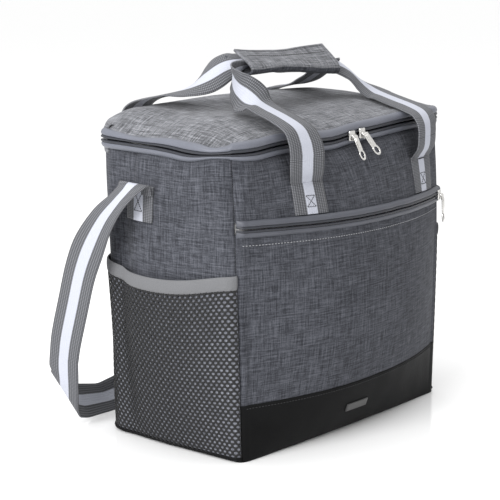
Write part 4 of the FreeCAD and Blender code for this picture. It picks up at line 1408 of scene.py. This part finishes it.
def block(name, centre, size, bevel, axes=None):
    """A box with rounded edges; axes are its three directions."""
    mesh = bmesh.new()
    bmesh.ops.create_cube(mesh, size=1.0)
    bmesh.ops.scale(mesh, vec=size, verts=mesh.verts)
    bmesh.ops.bevel(mesh, geom=mesh.edges[:], offset=bevel, segments=3, affect="EDGES", profile=0.5)
    verts = np.array([v.co for v in mesh.verts])
    faces = [[v.index for v in f.verts] for f in mesh.faces]
    mesh.free()
    if axes is not None:
        verts = verts @ np.asarray(axes)
    return new_object(name, verts + np.asarray(centre), faces, verts[:, :2])


def pull_ring(name, centre, axes, outer, inner, thick):
    """A flat oval ring: the hole end of a zip pull."""
    across, along, up = (np.asarray(a) for a in axes)
    verts, faces, count = [], [], 28
    for turn in np.linspace(0, 2 * math.pi, count, endpoint=False):
        c, s = math.cos(turn), math.sin(turn)
        for (rx, ry), height in ((outer, 0.35), (outer, -0.35), (inner, -0.35), (inner, 0.35)):
            verts.append(centre + across * rx * c + along * ry * s + up * height * thick * 1.4)
    for k in range(count):
        a, b = 4 * k, 4 * ((k + 1) % count)
        faces += [(a + i, b + i, b + (i + 1) % 4, a + (i + 1) % 4) for i in range(4)]
    obj = new_object(name, verts, faces)
    modifier = obj.modifiers.new("round", "BEVEL")
    modifier.width, modifier.segments = 0.35 * MM, 2
    apply_modifiers(obj)
    return obj


def make_pull(name, body, top, down, face, length, node, wide=6.6 * MM):
    """A zip pull: a raised plate that hangs from the slider and ends in an oval ring."""
    top, down = np.asarray(top, float), unit(np.asarray(down, float))
    across = unit(np.cross(down, face))
    up = np.cross(across, down)
    axes = (across, down, up)
    plate_long, ring, thick = length - 9 * MM, 5.6 * MM, 1.4 * MM
    rib = (wide - 2.6 * MM, plate_long * 0.6, 1.2 * MM)
    parts = [block(name, top + down * plate_long / 2, (wide, plate_long, thick), 0.6 * MM, axes),
             block(name, top + down * plate_long * 0.45 + up * 0.9 * MM, rib, 0.5 * MM, axes),
             pull_ring(name, top + down * (plate_long + ring - 1.8 * MM), axes, (wide * 0.62, ring),
                       (wide * 0.34, ring * 0.62), thick)]
    dress(join(name, parts), NICKEL, body, "nickel", node)


# The slider's blocks in mm: outwards, downwards, size and rounding.
SLIDER_BLOCKS = ((0, 0, (9, 10, 3.4), 1.2), (2.6, 0, (7.4, 3.0, 3.2), 1.1),
                 (3.4, 2.4, (3.2, 5.4, 2.4), 0.9))


def make_slider(name, body, place, outward, node):
    """A zip slider: a body over the coil with its arched bridge."""
    outward = np.asarray(outward, float)
    axes = (np.cross(UP, outward), UP, outward)
    parts = []
    for out, drop, size, bevel in SLIDER_BLOCKS:
        centre = place + (outward * out - UP * drop) * MM
        parts.append(block(name, centre, [v * MM for v in size], bevel * MM, axes))
    dress(join(name, parts), NICKEL, body, "nickel", node)


SLIDER_SHIFT = 4.5 * MM     # to the left of the CAD model's sliders
SLIDER_OUT = 6.6 * MM
POCKET_SLIDER_X = 146 * MM


def make_zip_pulls():
    """The two sliders of the main zip with their pulls, and the pocket zip's slider and pull."""
    leans = {"left": (0.06, -0.42, -0.90), "right": (0.26, -0.52, -0.80)}
    for side, lean in leans.items():
        low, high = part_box(f"main_slider_{side}")
        x = (low[0] + high[0]) / 2 - SLIDER_SHIFT
        place = np.array([x, -HALF_Y - SLIDER_OUT, ZIP_Z + float(rim_wave(x, -HALF_Y))])
        make_slider(f"{side}_zip_slider", f"slider_{side}", place, (0, -1, 0), f"main_slider_{side}")
        make_pull(f"{side}_zip_pull", f"pull_{side}", place + np.array([0, -4.2, 0.5]) * MM, lean,
                  (0, -1, -0.2), 25 * MM, f"main_pull_{side}")
    face = FACES["front"]
    t = face.share(POCKET_SLIDER_X, POCKET_ZIP_Z)
    point, normal = (v[0] for v in face.at(np.array([t]), np.array([POCKET_ZIP_Z])))
    normal = unit(normal * np.array([1, 1, 0]))
    slider, pull = point + normal * 4.6 * MM, point + normal * 8.6 * MM
    make_slider("front_pocket_slider", "pocket_slider", slider, normal, "pocket_slider")
    make_pull("front_pocket_pull", "pocket_pull", pull, (0.02, -0.04, -1), normal, 28 * MM, "pocket_pull")


BADGE_X = -9 * MM


def make_badge():
    """The small blank badge on the foot band."""
    face = FACES["front"]
    grid, uv = face.patch(BADGE_X, 32 * MM, 24.5 * MM, 32 * MM, 8, 16, 1.8 * MM)
    dress(sheet_object("blank_badge", grid, 1.4 * MM, uv), BADGE, "bag", "badge", "front_badge")


# ---------------------------------------------------------------- run

make_camera()
make_stage()
make_walls()
make_base()
make_inside()
make_main_zip()
make_pocket_zip()
make_lid()
make_hinge()
for side in ("left", "right"):
    make_side_pocket(side)
make_seams()
make_pocket_sewing()
make_handle("front", FRONT_LEFT + FRONT_RIGHT, -1)
make_handle("back", BACK_LEFT + BACK_RIGHT, 1)
make_grip()
make_strap()
make_adjuster()
make_zip_pulls()
make_badge()
